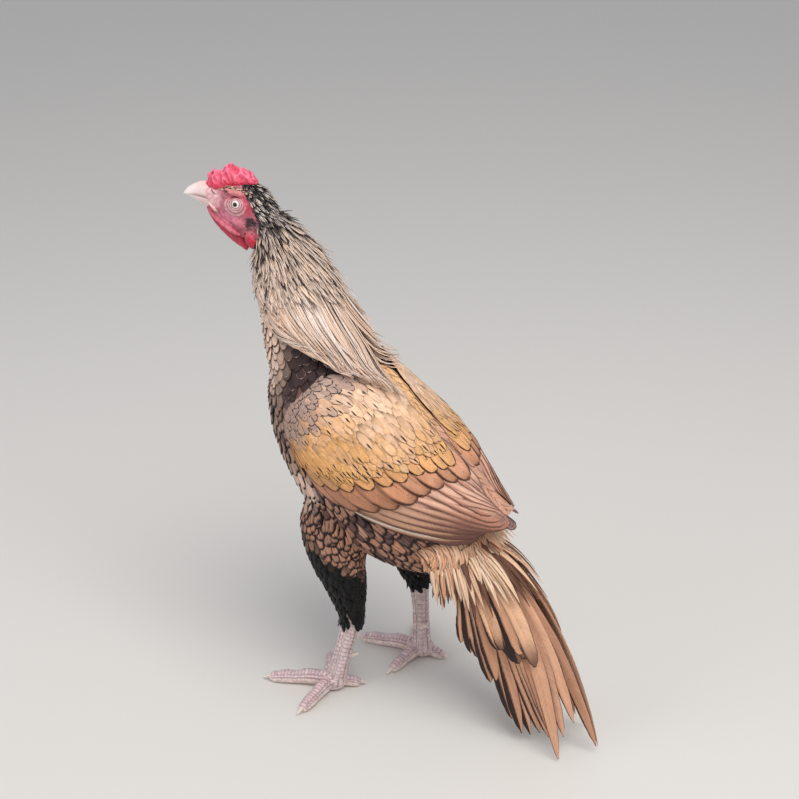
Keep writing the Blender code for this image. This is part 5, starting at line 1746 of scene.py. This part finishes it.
def hackle_coat(label):
    coat = Coat("hackle_coat", 51, label)
    draw = coat.draw
    form = Form(NECK, COAT)
    first, last = HALF_ROUND[label]
    # A dark under layer of breast feathers shows at the neck's foot in front, so the hackles thin out there.
    for u_from, u_to, along, round_gap, rows in (
        (0.0, 0.45, 0.0041, 0.0035, 8), (0.45, 0.9, 0.0064, 0.0056, 12),
    ):
        u, turn = lattice(form, u_from, u_to, first, last, along, round_gap, draw, 0.4)
        roots = form.at(u, turn)
        on, _ = on_surface(shoulders, roots)
        front = 0.5 - 0.5 * np.sin(turn * math.tau)
        keep = (np.linalg.norm(on - roots, axis=1) < 0.006) & ~unfeathered(roots)
        u, turn, on, front = u[keep], turn[keep], on[keep], front[keep]
        count = len(u)
        length = np.interp(u, (0, 0.2, 0.45, 0.7, 1.0), (0.013, 0.024, 0.038, 0.052, 0.06))
        length = length * (1 - 0.4 * front) * draw.uniform(0.85, 1.15, count)
        width = sized(draw, u, (0, 0.2, 0.5, 1.0), (0.0029, 0.0042, 0.0066, 0.008), 0.8, 1.15)
        high = np.interp(u, (0, 0.15, 0.4, 1.0), (0.0044, 0.007, 0.008, 0.0074))
        high = high + draw.uniform(-0.0012, 0.0036, count) * (1.3 - front)
        # A few behind and at the sides stand loose.
        loose = (draw.uniform(0, 1, count) < 0.1) * (1 - blend(0.3, 0.6, front))
        loose = loose * draw.uniform(0.002, 0.009, count)
        paths, outs = combed(shoulders, on, length, (0.0006, high + loose), hackle_flow, rows)
        swirl = draw.normal(0, 0.0016, (count, 1, 3)) * np.linspace(0, 1, rows)[None, :, None] ** 2
        paths = paths + swirl
        keep = over_cape_edge(paths[:, -1]) > draw.uniform(-0.01, 0.002, count)
        paths, outs, u, turn, front, width = (v[keep] for v in (paths, outs, u, turn, front, width))
        count = len(u)
        cream = blend(0.0, 0.22, u + draw.normal(0, 0.04, count))
        tint = mix(srgb(182, 164, 154), srgb(220, 196, 178), cream)
        tint = mix(tint, srgb(216, 178, 144), blend(0.5, 0.95, u) * (1 - front) * 0.6)
        share = np.interp(u, (0, 0.08, 0.17, 0.3, 1.0), (0.75, 0.45, 0.12, 0.05, 0.02))
        dark = draw.uniform(0, 1, count) < share + 0.3 * blend(0.55, 0.9, front)
        tint[dark] = srgb(64, 50, 50)
        trim = mix(srgb(36, 28, 30), srgb(92, 70, 62), cream)
        trim[dark] = srgb(220, 202, 184)
        streak = np.where(dark, 0.0, sized(draw, u, (0, 0.3, 1.0), (0.55, 0.42, 0.3), 0.3, 1.5))
        marks = per_feather(count, np.where(dark, 0.2, 0.0), streak, 0.0)
        homes = np.stack([0.02 + 0.96 * (turn - first) / 0.5, 0.02 + 0.96 * u], 1)
        coat.lay(
            paths, outs, width, homes, varied(draw, tint, 0.1), varied(draw, trim), marks, pointed, 5, 0.18,
            0.9,
        )
    return finished(coat, "hackle_feather")


FAR_PULL = {"left": (0.0, 0.0), "right": (0.26, 0.66)}


def cape_coat(label, side):
    coat = Coat("cape_coat", 61, label)
    draw = coat.draw
    form = Form(NECK, COAT)
    for back, number in ((0.5, 38), (0.56, 40), (0.62, 42), (0.68, 42), (0.74, 40)):
        q = (np.arange(number) + draw.uniform(-0.3, 0.3, number) + 0.5) / number
        tips = through(CAPE_TIPS, 1 - q) * (side, 1, 1)
        # The feathers start further to the front, and higher up, than their tips, and so sweep back.
        turn = 0.25 - side * (0.004 + 0.436 * q**0.85)
        at = back - 0.3 * q
        root = form.at(at, turn, np.full(number, 0.001))
        bend = form.at(at + 0.16, turn + side * 0.03, np.full(number, 0.01))
        # The far side of the cape is drawn up by the turn of the head.
        pull = ((0.78 - back) * 0.5 + np.interp(q, (0.05, 0.45), FAR_PULL[label]))[:, None]
        tips = tips + (root - tips) * pull + draw.normal(0, 0.0022, (number, 3))
        heights = np.linspace(0.0008, 0.0062, 14) + (0.74 - back) * 0.012
        paths, outs = hung(shoulders, root, bend, tips, 14, heights)
        paths, outs = eased(paths), eased(outs, unit)
        width = 0.0064 * draw.uniform(0.75, 1.2, number)
        tint = mix(srgb(238, 218, 204), srgb(224, 188, 162), draw.uniform(0, 1, number))
        trim = np.tile(srgb(150, 116, 98), (number, 1))
        dark = draw.uniform(0, 1, number) < 0.2
        trim[dark] = srgb(66, 46, 44)
        marks = np.stack(
            [np.zeros(number), np.where(dark, 0.6, draw.uniform(0.04, 0.3, number)), np.zeros(number)], 1,
        )
        homes = per_feather(number, 0.02 + 0.96 * q, 0.02 + 0.9 * back)
        coat.lay(
            paths, outs, width, homes, varied(draw, tint, 0.07), varied(draw, trim), marks, pointed, 5, 0.1,
            0.9,
        )
    return finished(coat, "hackle_feather")


for label, side in SIDES:
    hackle_coat(label)
    cape_coat(label, side)


# The saddle and the tail. Pale pointed saddle feathers hang from the rump over the root of the tail, and
# twelve long quills with their coverts droop behind almost to the floor.

SADDLE = np.array(
    (
        (0.04, 0.096, 0.216, 0.054, 0.098, 0.206, 0.052, 0.1, 0.17),
        (0.038, 0.102, 0.218, 0.054, 0.106, 0.208, 0.051, 0.107, 0.167),
        (0.036, 0.107, 0.219, 0.052, 0.116, 0.21, 0.05, 0.115, 0.166),
        (0.032, 0.112, 0.22, 0.049, 0.124, 0.213, 0.048, 0.127, 0.166),
        (0.028, 0.117, 0.221, 0.044, 0.134, 0.216, 0.046, 0.145, 0.168),
        (0.02, 0.122, 0.222, 0.036, 0.146, 0.222, 0.041, 0.168, 0.17),
        (0.012, 0.126, 0.222, 0.022, 0.16, 0.234, 0.028, 0.198, 0.182),
        (0.000, 0.126, 0.222, 0.002, 0.166, 0.238, 0.003, 0.214, 0.182),
    )
)
TAIL = (
    ((0.004, 0.14, 0.206), (0.01, 0.2, 0.202), (0.01, 0.245, 0.12), (0.000, 0.287, 0.01), 0.022),
    ((0.008, 0.138, 0.2), (0.016, 0.19, 0.19), (0.026, 0.228, 0.11), (0.035, 0.258, 0.004), 0.024),
    ((0.01, 0.134, 0.194), (0.02, 0.178, 0.176), (0.024, 0.205, 0.1), (0.016, 0.236, 0.012), 0.026),
    ((0.012, 0.13, 0.188), (0.024, 0.165, 0.168), (0.032, 0.182, 0.104), (0.028, 0.209, 0.014), 0.028),
    ((0.013, 0.126, 0.184), (0.03, 0.15, 0.16), (0.036, 0.158, 0.12), (0.034, 0.171, 0.072), 0.026),
    ((0.012, 0.12, 0.18), (0.028, 0.132, 0.16), (0.034, 0.134, 0.14), (0.033, 0.132, 0.11), 0.022),
)
TAIL_COVERTS = (
    ((0.01, 0.142, 0.204), (0.024, 0.175, 0.2), (0.028, 0.205, 0.16), (0.03, 0.222, 0.112), 0.02),
    ((0.012, 0.14, 0.198), (0.028, 0.17, 0.188), (0.033, 0.192, 0.15), (0.034, 0.202, 0.112), 0.02),
    ((0.014, 0.134, 0.192), (0.032, 0.156, 0.18), (0.038, 0.172, 0.15), (0.038, 0.182, 0.124), 0.02),
)
TAIL_UNDER = Form(TAIL_ROOT, COAT / 2)


def saddle_coat(label, side):
    coat = Coat("saddle_coat", 71, label)
    draw = coat.draw
    for layer, (share, number) in enumerate(((1.0, 24), (0.88, 26), (0.74, 28), (0.58, 28), (0.42, 26))):
        v = 0.16 + 0.84 * (np.arange(number) + draw.uniform(-0.35, 0.35, number) + 0.5) / number
        row = through(SADDLE, v)
        root, bend, tip = row[:, :3], row[:, 3:6], row[:, 6:]
        root = root + (0, -0.006 * layer, 0.0034 * layer)
        bend = bend + (root - bend) * (1 - share) * 0.5 + (0, 0, 0.0015 * layer)
        reach = share + draw.uniform(-0.12, 0.08, (number, 1))
        tip = root + (tip - root) * reach + draw.normal(0, 0.003, (number, 3))
        root, bend, tip = (v * (side, 1, 1) for v in (root, bend, tip))
        paths, _ = hung(saddle_ground, root, bend, tip, 13, np.linspace(0.0008, 0.004, 13) + 0.0007 * layer)
        outward = unit(per_feather(number, bend[:, 0] * 12, 0.35, 0.3))
        outs = np.repeat(outward[:, None], 13, 1)
        width = 0.0088 * draw.uniform(0.75, 1.15, number)
        tint = mix(srgb(242, 208, 176), srgb(222, 164, 128), draw.uniform(0, 1, number) ** 1.3)
        dark = draw.uniform(0, 1, number) < 0.3 - 0.05 * layer
        tint[dark] = srgb(112, 74, 58)
        trim = srgb(126, 82, 62)
        marks = per_feather(number, 0.0, draw.uniform(0.1, 0.4, number), 0.0)
        homes = per_feather(number, 0.05 + 0.9 * v, 0.1 + 0.16 * layer)
        coat.lay(paths, outs, width, homes, varied(draw, tint, 0.08), trim, marks, pointed, 5, 0.15, 0.9)
    return finished(coat, "saddle_feather", *(("rump",) if side > 0 else ()))


saddle_ground = tree_of(
    shell(Form(TORSO, COAT / 2).rings(40, 40, 0.3, 1.0)),
    shell(TAIL_UNDER.rings(12, 20)),
)


def tail_feathers(draw, rows, side, rounds):
    """Quills along Bezier paths, with others between them a little shorter."""
    table = np.array([[*sum(row[:4], ()), row[4]] for row in rows])
    number = int(round((len(rows) - 1) * rounds)) + 1
    v = np.linspace(0, 1, number)
    row = through(table, v)
    row[:, :12] += np.repeat(draw.normal(0, 0.0008, (number, 1)), 12, 1)
    between = np.abs(v * (len(rows) - 1) - np.round(v * (len(rows) - 1))) > 0.2
    reach = np.where(between, draw.uniform(0.86, 1.0, number), 1.0)
    a = np.linspace(0, 1, 26)[None, :, None] * reach[:, None, None]
    p = [row[:, None, 3 * i : 3 * i + 3] for i in range(4)]
    paths = p[0] * (1 - a) ** 3 + 3 * p[1] * a * (1 - a) ** 2 + 3 * p[2] * a**2 * (1 - a) + p[3] * a**3
    paths = paths * (side, 1, 1)
    outs = np.tile(unit(np.array((side, 0.35, 0.45))), (number, 26, 1))
    paths[..., 2] = np.maximum(paths[..., 2], 0.003)
    return v, row, paths, outs, number


def tail_coat(label, side):
    coat = Coat("tail_coat", 81, label)
    draw = coat.draw
    for rows, rounds, lift, wide, tones in (
        (TAIL, 3.0, 0.0, 0.7, (srgb(222, 170, 138), srgb(198, 144, 114))),
        (TAIL_COVERTS, 4.5, 0.002, 0.86, (srgb(226, 178, 142), srgb(212, 158, 124))),
    ):
        v, row, paths, outs, number = tail_feathers(draw, rows, side, rounds)
        paths = paths + outs * lift
        tint = mix(tones[0], tones[1], draw.uniform(0, 1, number))
        trim = srgb(52, 36, 34)
        marks = (0.1, 0.0, 0.0)
        web = side * np.where(v > 0.42, draw.uniform(0.25, 0.7, number), draw.uniform(0.1, 0.34, number))
        tips = mix(tint, srgb(92, 56, 45), 0.85 * (draw.uniform(0, 1, number) < 0.75)) if lift else tint
        homes = per_feather(number, 0.05 + 0.9 * v, 0.2 if lift else 0.6)
        coat.lay(
            paths, outs, row[:, 12] * wide, homes, varied(draw, tint, 0.06), trim, marks,
            strap if lift else quill, 9, 0.08, 0.3, web=web, tips=tips,
        )
    return finished(coat, "tail_feather", *(("tail",) if side > 0 else ()))


for label, side in SIDES:
    saddle_coat(label, side)
    tail_coat(label, side)


# The head's own feathers. Small black and white ones from the crown round behind the ear to the nape, a
# band of buff flecked ones between comb and eye, and thin dark bristles over the ear.


# The line of the band over the left eye, from front to back.
BROW_BAND = (
    (0.012, -0.196, 0.568),
    (0.015, -0.185, 0.5705),
    (0.0165, -0.173, 0.5735),
    (0.0165, -0.16, 0.574),
    (0.016, -0.152, 0.57),
)


def head_coat():
    coat = Coat("head_coat", 91)
    draw = coat.draw
    form = Form(HEAD, 0.0006)
    u, turn = lattice(form, 0.25, 1.0, -0.25, 0.75, 0.0028, 0.0025, draw, 0.4)
    roots = form.at(u, turn)
    on, _ = on_surface(ground, roots)
    keep = (np.linalg.norm(on - roots, axis=1) < 0.003) & ~unfeathered(roots)
    on, u, turn = on[keep], u[keep], turn[keep]
    count = len(on)
    lie = unit(np.array((0.0, 0.85, -0.55)))
    ahead = blend(-0.142, -0.162, on[:, 1])
    length = draw.uniform(0.0065, 0.0105, count) * (1 - 0.35 * ahead)
    paths, outs = combed(
        ground, on, length, (0.0003, draw.uniform(0.0012, 0.004, count) * (1 - 0.4 * ahead)), lie, 7,
    )
    paths = paths + draw.normal(0, 0.0006, (count, 1, 3)) * np.linspace(0, 1, 7)[None, :, None] ** 2
    pale = draw.uniform(0, 1, count) < 0.36
    tint = np.where(pale[:, None], srgb(214, 200, 188), srgb(26, 20, 23))
    trim = np.where(pale[:, None], srgb(28, 22, 25), srgb(226, 214, 202))
    marks = per_feather(count, np.where(pale, 0.0, 0.42), np.where(pale, 0.42, 0.0), 0.0)
    homes = np.stack([0.02 + 0.7 * (turn + 0.25), 0.02 + 0.9 * u], 1)
    coat.lay(
        paths, outs, draw.uniform(0.0021, 0.0032, count), homes, varied(draw, tint), varied(draw, trim),
        marks, pointed, 5, 0.16, 0.6, 0.0002,
    )
    # The band over the eye.
    count = 520
    f = draw.uniform(0, 1, count)
    side = 1.0 - 2.0 * (np.arange(count) % 2)
    brow = through(BROW_BAND, f)
    brow[:, 2] += draw.uniform(-0.0024, 0.007, count) * np.interp(f, (0, 0.2, 1), (0.5, 1.0, 1.0))
    on, _ = on_surface(ground, brow * per_feather(count, side, 1, 1))
    lie = unit(np.array((0.0, 0.95, 0.12)))
    paths, outs = combed(
        ground, on, draw.uniform(0.003, 0.0052, count), (0.0002, draw.uniform(0.0005, 0.0015, count)), lie, 6,
    )
    dark = draw.uniform(0, 1, count) < 0.26 + 0.3 * f
    tint = np.where(dark[:, None], srgb(66, 44, 44), srgb(226, 188, 164))
    trim = np.where(dark[:, None], srgb(200, 160, 130), srgb(70, 46, 44))
    marks = per_feather(count, 0.0, draw.uniform(0.0, 0.3, count), 0.0)
    homes = np.stack([0.76 + 0.2 * (side > 0), 0.05 + 0.9 * f], 1)
    coat.lay(
        paths, outs, draw.uniform(0.001, 0.0018, count), homes, varied(draw, tint), trim, marks, pointed, 5,
        0.15, 0.5, 0.0002,
    )
    # Bristles over the ear and along the edge of the face.
    count = 180
    side = 1.0 - 2.0 * (np.arange(count) % 2)
    spread = draw.normal(0, 1, (count, 2)) * (0.0042, 0.004)
    place = np.stack([0.021 * side, -0.1525 + spread[:, 0], 0.54 + spread[:, 1]], 1)
    on, _ = on_surface(ground, place)
    lie = unit(np.array((0.0, 0.9, -0.35)))
    paths, outs = combed(
        ground, on, draw.uniform(0.0035, 0.007, count), (0.0001, draw.uniform(0.0004, 0.0022, count)),
        lie + draw.normal(0, 0.3, (count, 3)), 6,
    )
    tint = mix(srgb(60, 46, 50), srgb(186, 160, 158), draw.uniform(0, 1, count) ** 2)
    marks = np.zeros((count, 3))
    homes = np.stack([0.76 + 0.2 * (side > 0), 0.05 + 0.9 * draw.uniform(0, 1, count)], 1)
    coat.lay(paths, outs, 0.0006, homes, tint, tint, marks, pointed, 3, 0.1, 0.3, 0.00015)
    return finished(coat, "hackle_feather")


head_coat()


# The scales of the legs. Broad overlapping plates down the front of each shank and along the tops of the
# toes, smaller rounded ones behind and at the sides, each a low plate of horn with a soft edge.


SHANK_LENGTH = 0.118
SCALES_TOP = 0.128
# Front, inner, outer and hind rows: the step along, turn and its span, scales abreast, width and length.
SCALE_ROWS = (
    (0.0062, 0.75, 0.15, 2, 0.0125, 0.0086),
    (0.0052, 0.5, 0.14, 2, 0.0076, 0.007),
    (0.0052, 0.0, 0.14, 2, 0.0076, 0.007),
    (0.005, 0.25, 0.16, 3, 0.0066, 0.0066),
)


def scale_coat(label):
    coat = Coat("leg_scales", 95, label)
    draw = coat.draw
    form = Form(SHANKS[label], -0.0002)
    stations = np.array(SHANKS[label])
    lots = []
    for spacing, turn_centre, turn_span, per_row, width, length in SCALE_ROWS:
        u = np.arange(0.02, 0.97, spacing / SHANK_LENGTH)
        for column in range(per_row):
            offset = (column - (per_row - 1) / 2) / per_row
            stagger = (column % 2) * 0.5 * spacing / SHANK_LENGTH
            turn = turn_centre + offset * turn_span * 2 + draw.normal(0, 0.004, len(u))
            here = np.clip(u + stagger + draw.normal(0, 0.001, len(u)), 0, 0.99)
            on, _ = on_surface(ground, form.at(here, turn))
            lots.append((on, here, turn, np.full(len(u), width), np.full(len(u), length)))
    on, here, turn, width, length = (np.concatenate([lot[i] for lot in lots]) for i in range(5))
    keep = on[:, 2] < SCALES_TOP
    on, here, turn, width, length = on[keep], here[keep], turn[keep], width[keep], length[keep]
    line = through(stations, np.linspace(0, 1, 30))[:, :3]
    down = unit(line[-1] - line[0])
    paths, outs = combed(ground, on, length, (-0.0001, 0.0007), down, 5)
    tint = mix(srgb(226, 206, 204), srgb(212, 186, 184), draw.uniform(0, 1, len(on)))
    trim = srgb(188, 158, 158)
    marks = (0.16, 0.0, 0.0)
    homes = np.stack([0.02 + 0.44 * (turn % 1.0), 0.02 + 0.9 * here], 1)
    coat.lay(paths, outs, width, homes, varied(draw, tint, 0.05), trim, marks, scute, 5, 0.2, 0.1, 0.0004)
    # Plates over the tops of the toes.
    for toe in TOES:
        path, radii = toe_path(label, toe, 40)
        length = np.linalg.norm(np.diff(path, axis=0), axis=1).sum()
        number = int(length / 0.0042)
        f = np.linspace(0.1, 0.97, number)
        place = np.stack([np.interp(f, np.linspace(0, 1, 40), path[:, axis]) for axis in range(3)], 1)
        radius = np.interp(f, np.linspace(0, 1, 40), radii)
        for lean in (-0.55, 0.0, 0.55):
            way = unit(path[-1] - path[0])
            across = np.cross(way, (0.0, 0.0, 1.0))
            aim = unit(np.array((0.0, 0.0, 1.0)) + across * lean * 1.6)
            start = place + aim * radius[:, None] * 1.1
            on, _ = on_surface(ground, start)
            paths, outs = combed(ground, on, 0.0052, (-0.0001, 0.0006), way, 5)
            tint = mix(srgb(228, 206, 206), srgb(214, 184, 186), draw.uniform(0, 1, number))
            homes = per_feather(number, 0.55 + 0.1 * TOES.index(toe) + 0.02 * lean, 0.05 + 0.9 * f)
            wide = radius * (1.5 if lean == 0 else 0.9)
            coat.lay(
                paths, outs, wide, homes, varied(draw, tint, 0.05), srgb(190, 156, 158),
                (0.16, 0.0, 0.0), scute, 5, 0.2, 0.1, 0.0004,
            )
    piece = coat.made()
    piece.data.materials.append(SCALES)
    return settle(piece, "leg_scale")


def scute(a):
    """Half width of a leg scale along its length."""
    return np.interp(a, (0, 0.1, 0.7, 0.9, 1.0), (0.8, 0.95, 1.0, 0.85, 0.5))


def scale_finish():
    """The plumage's markings on smooth pale skin."""
    material = PLUMAGE.copy()
    material.name = "leg_scales"
    fill(material.node_tree.nodes["Principled BSDF"], {"Roughness": 0.45, "Sheen Weight": 0.0})
    for node in material.node_tree.nodes:
        if node.bl_idname == "ShaderNodeBump":
            fill(node, {"Strength": 0.15})
    return material


SCALES = scale_finish()
for label, side in SIDES:
    scale_coat(label)


# The studio. A plain pale floor, a broad soft light over the bird and a weaker one from the camera's side,
# and the camera where the photographer stood.

CAMERA_PLACE = (1.1839, 0.7713, 1.0812)
CAMERA_AROUND, CAMERA_ABOVE = math.radians(32), math.radians(27)
CAMERA_LENS = 65.78

floor = add(
    "studio_floor",
    mesh_of(
        "studio_floor", [(np.array(((-1, -1, 0), (1, -1, 0), (1, 1, 0), (-1, 1, 0))) * 12.0, [(0, 1, 2, 3)])],
    ),
)
pale = {"Base Color": (*srgb(216, 212, 206), 1.0), "Roughness": 0.9}
floor.data.materials.append(finish_named("studio_floor", pale)[0])


def soft_light(name, place, target, size, power, colour):
    lamp = bpy.data.lights.new(name, "AREA")
    lamp.size = size
    lamp.energy = power
    lamp.color = colour
    holder = bpy.data.objects.new(name, lamp)
    holder.location = place
    holder.rotation_euler = (Vector(target) - Vector(place)).to_track_quat("-Z", "Y").to_euler()
    bpy.context.scene.collection.objects.link(holder)


soft_light("overhead", (0.5, 0.9, 2.3), (0, 0, 0.3), 1.6, 42, (1.0, 0.985, 0.96))
soft_light("fill", (1.9, -1.2, 1.1), (0, 0, 0.3), 1.8, 14, (0.95, 0.97, 1.0))
world = bpy.data.worlds.new("studio")
world.use_nodes = True
fill(world.node_tree.nodes["Background"], {"Color": (0.9, 0.93, 1.0, 1.0), "Strength": 0.55})
bpy.context.scene.world = world
bpy.context.scene.view_settings.view_transform = "Standard"

lens = bpy.data.cameras.new("camera")
lens.lens = CAMERA_LENS
camera = bpy.data.objects.new("camera", lens)
camera.location = np.array(CAMERA_PLACE) + STANCE_TO_ORIGIN
view = -Vector(
    (
        math.cos(CAMERA_AROUND) * math.cos(CAMERA_ABOVE),
        math.sin(CAMERA_AROUND) * math.cos(CAMERA_ABOVE),
        math.sin(CAMERA_ABOVE),
    )
)
camera.rotation_euler = view.to_track_quat("-Z", "Y").to_euler()
bpy.context.scene.collection.objects.link(camera)
bpy.context.scene.camera = camera
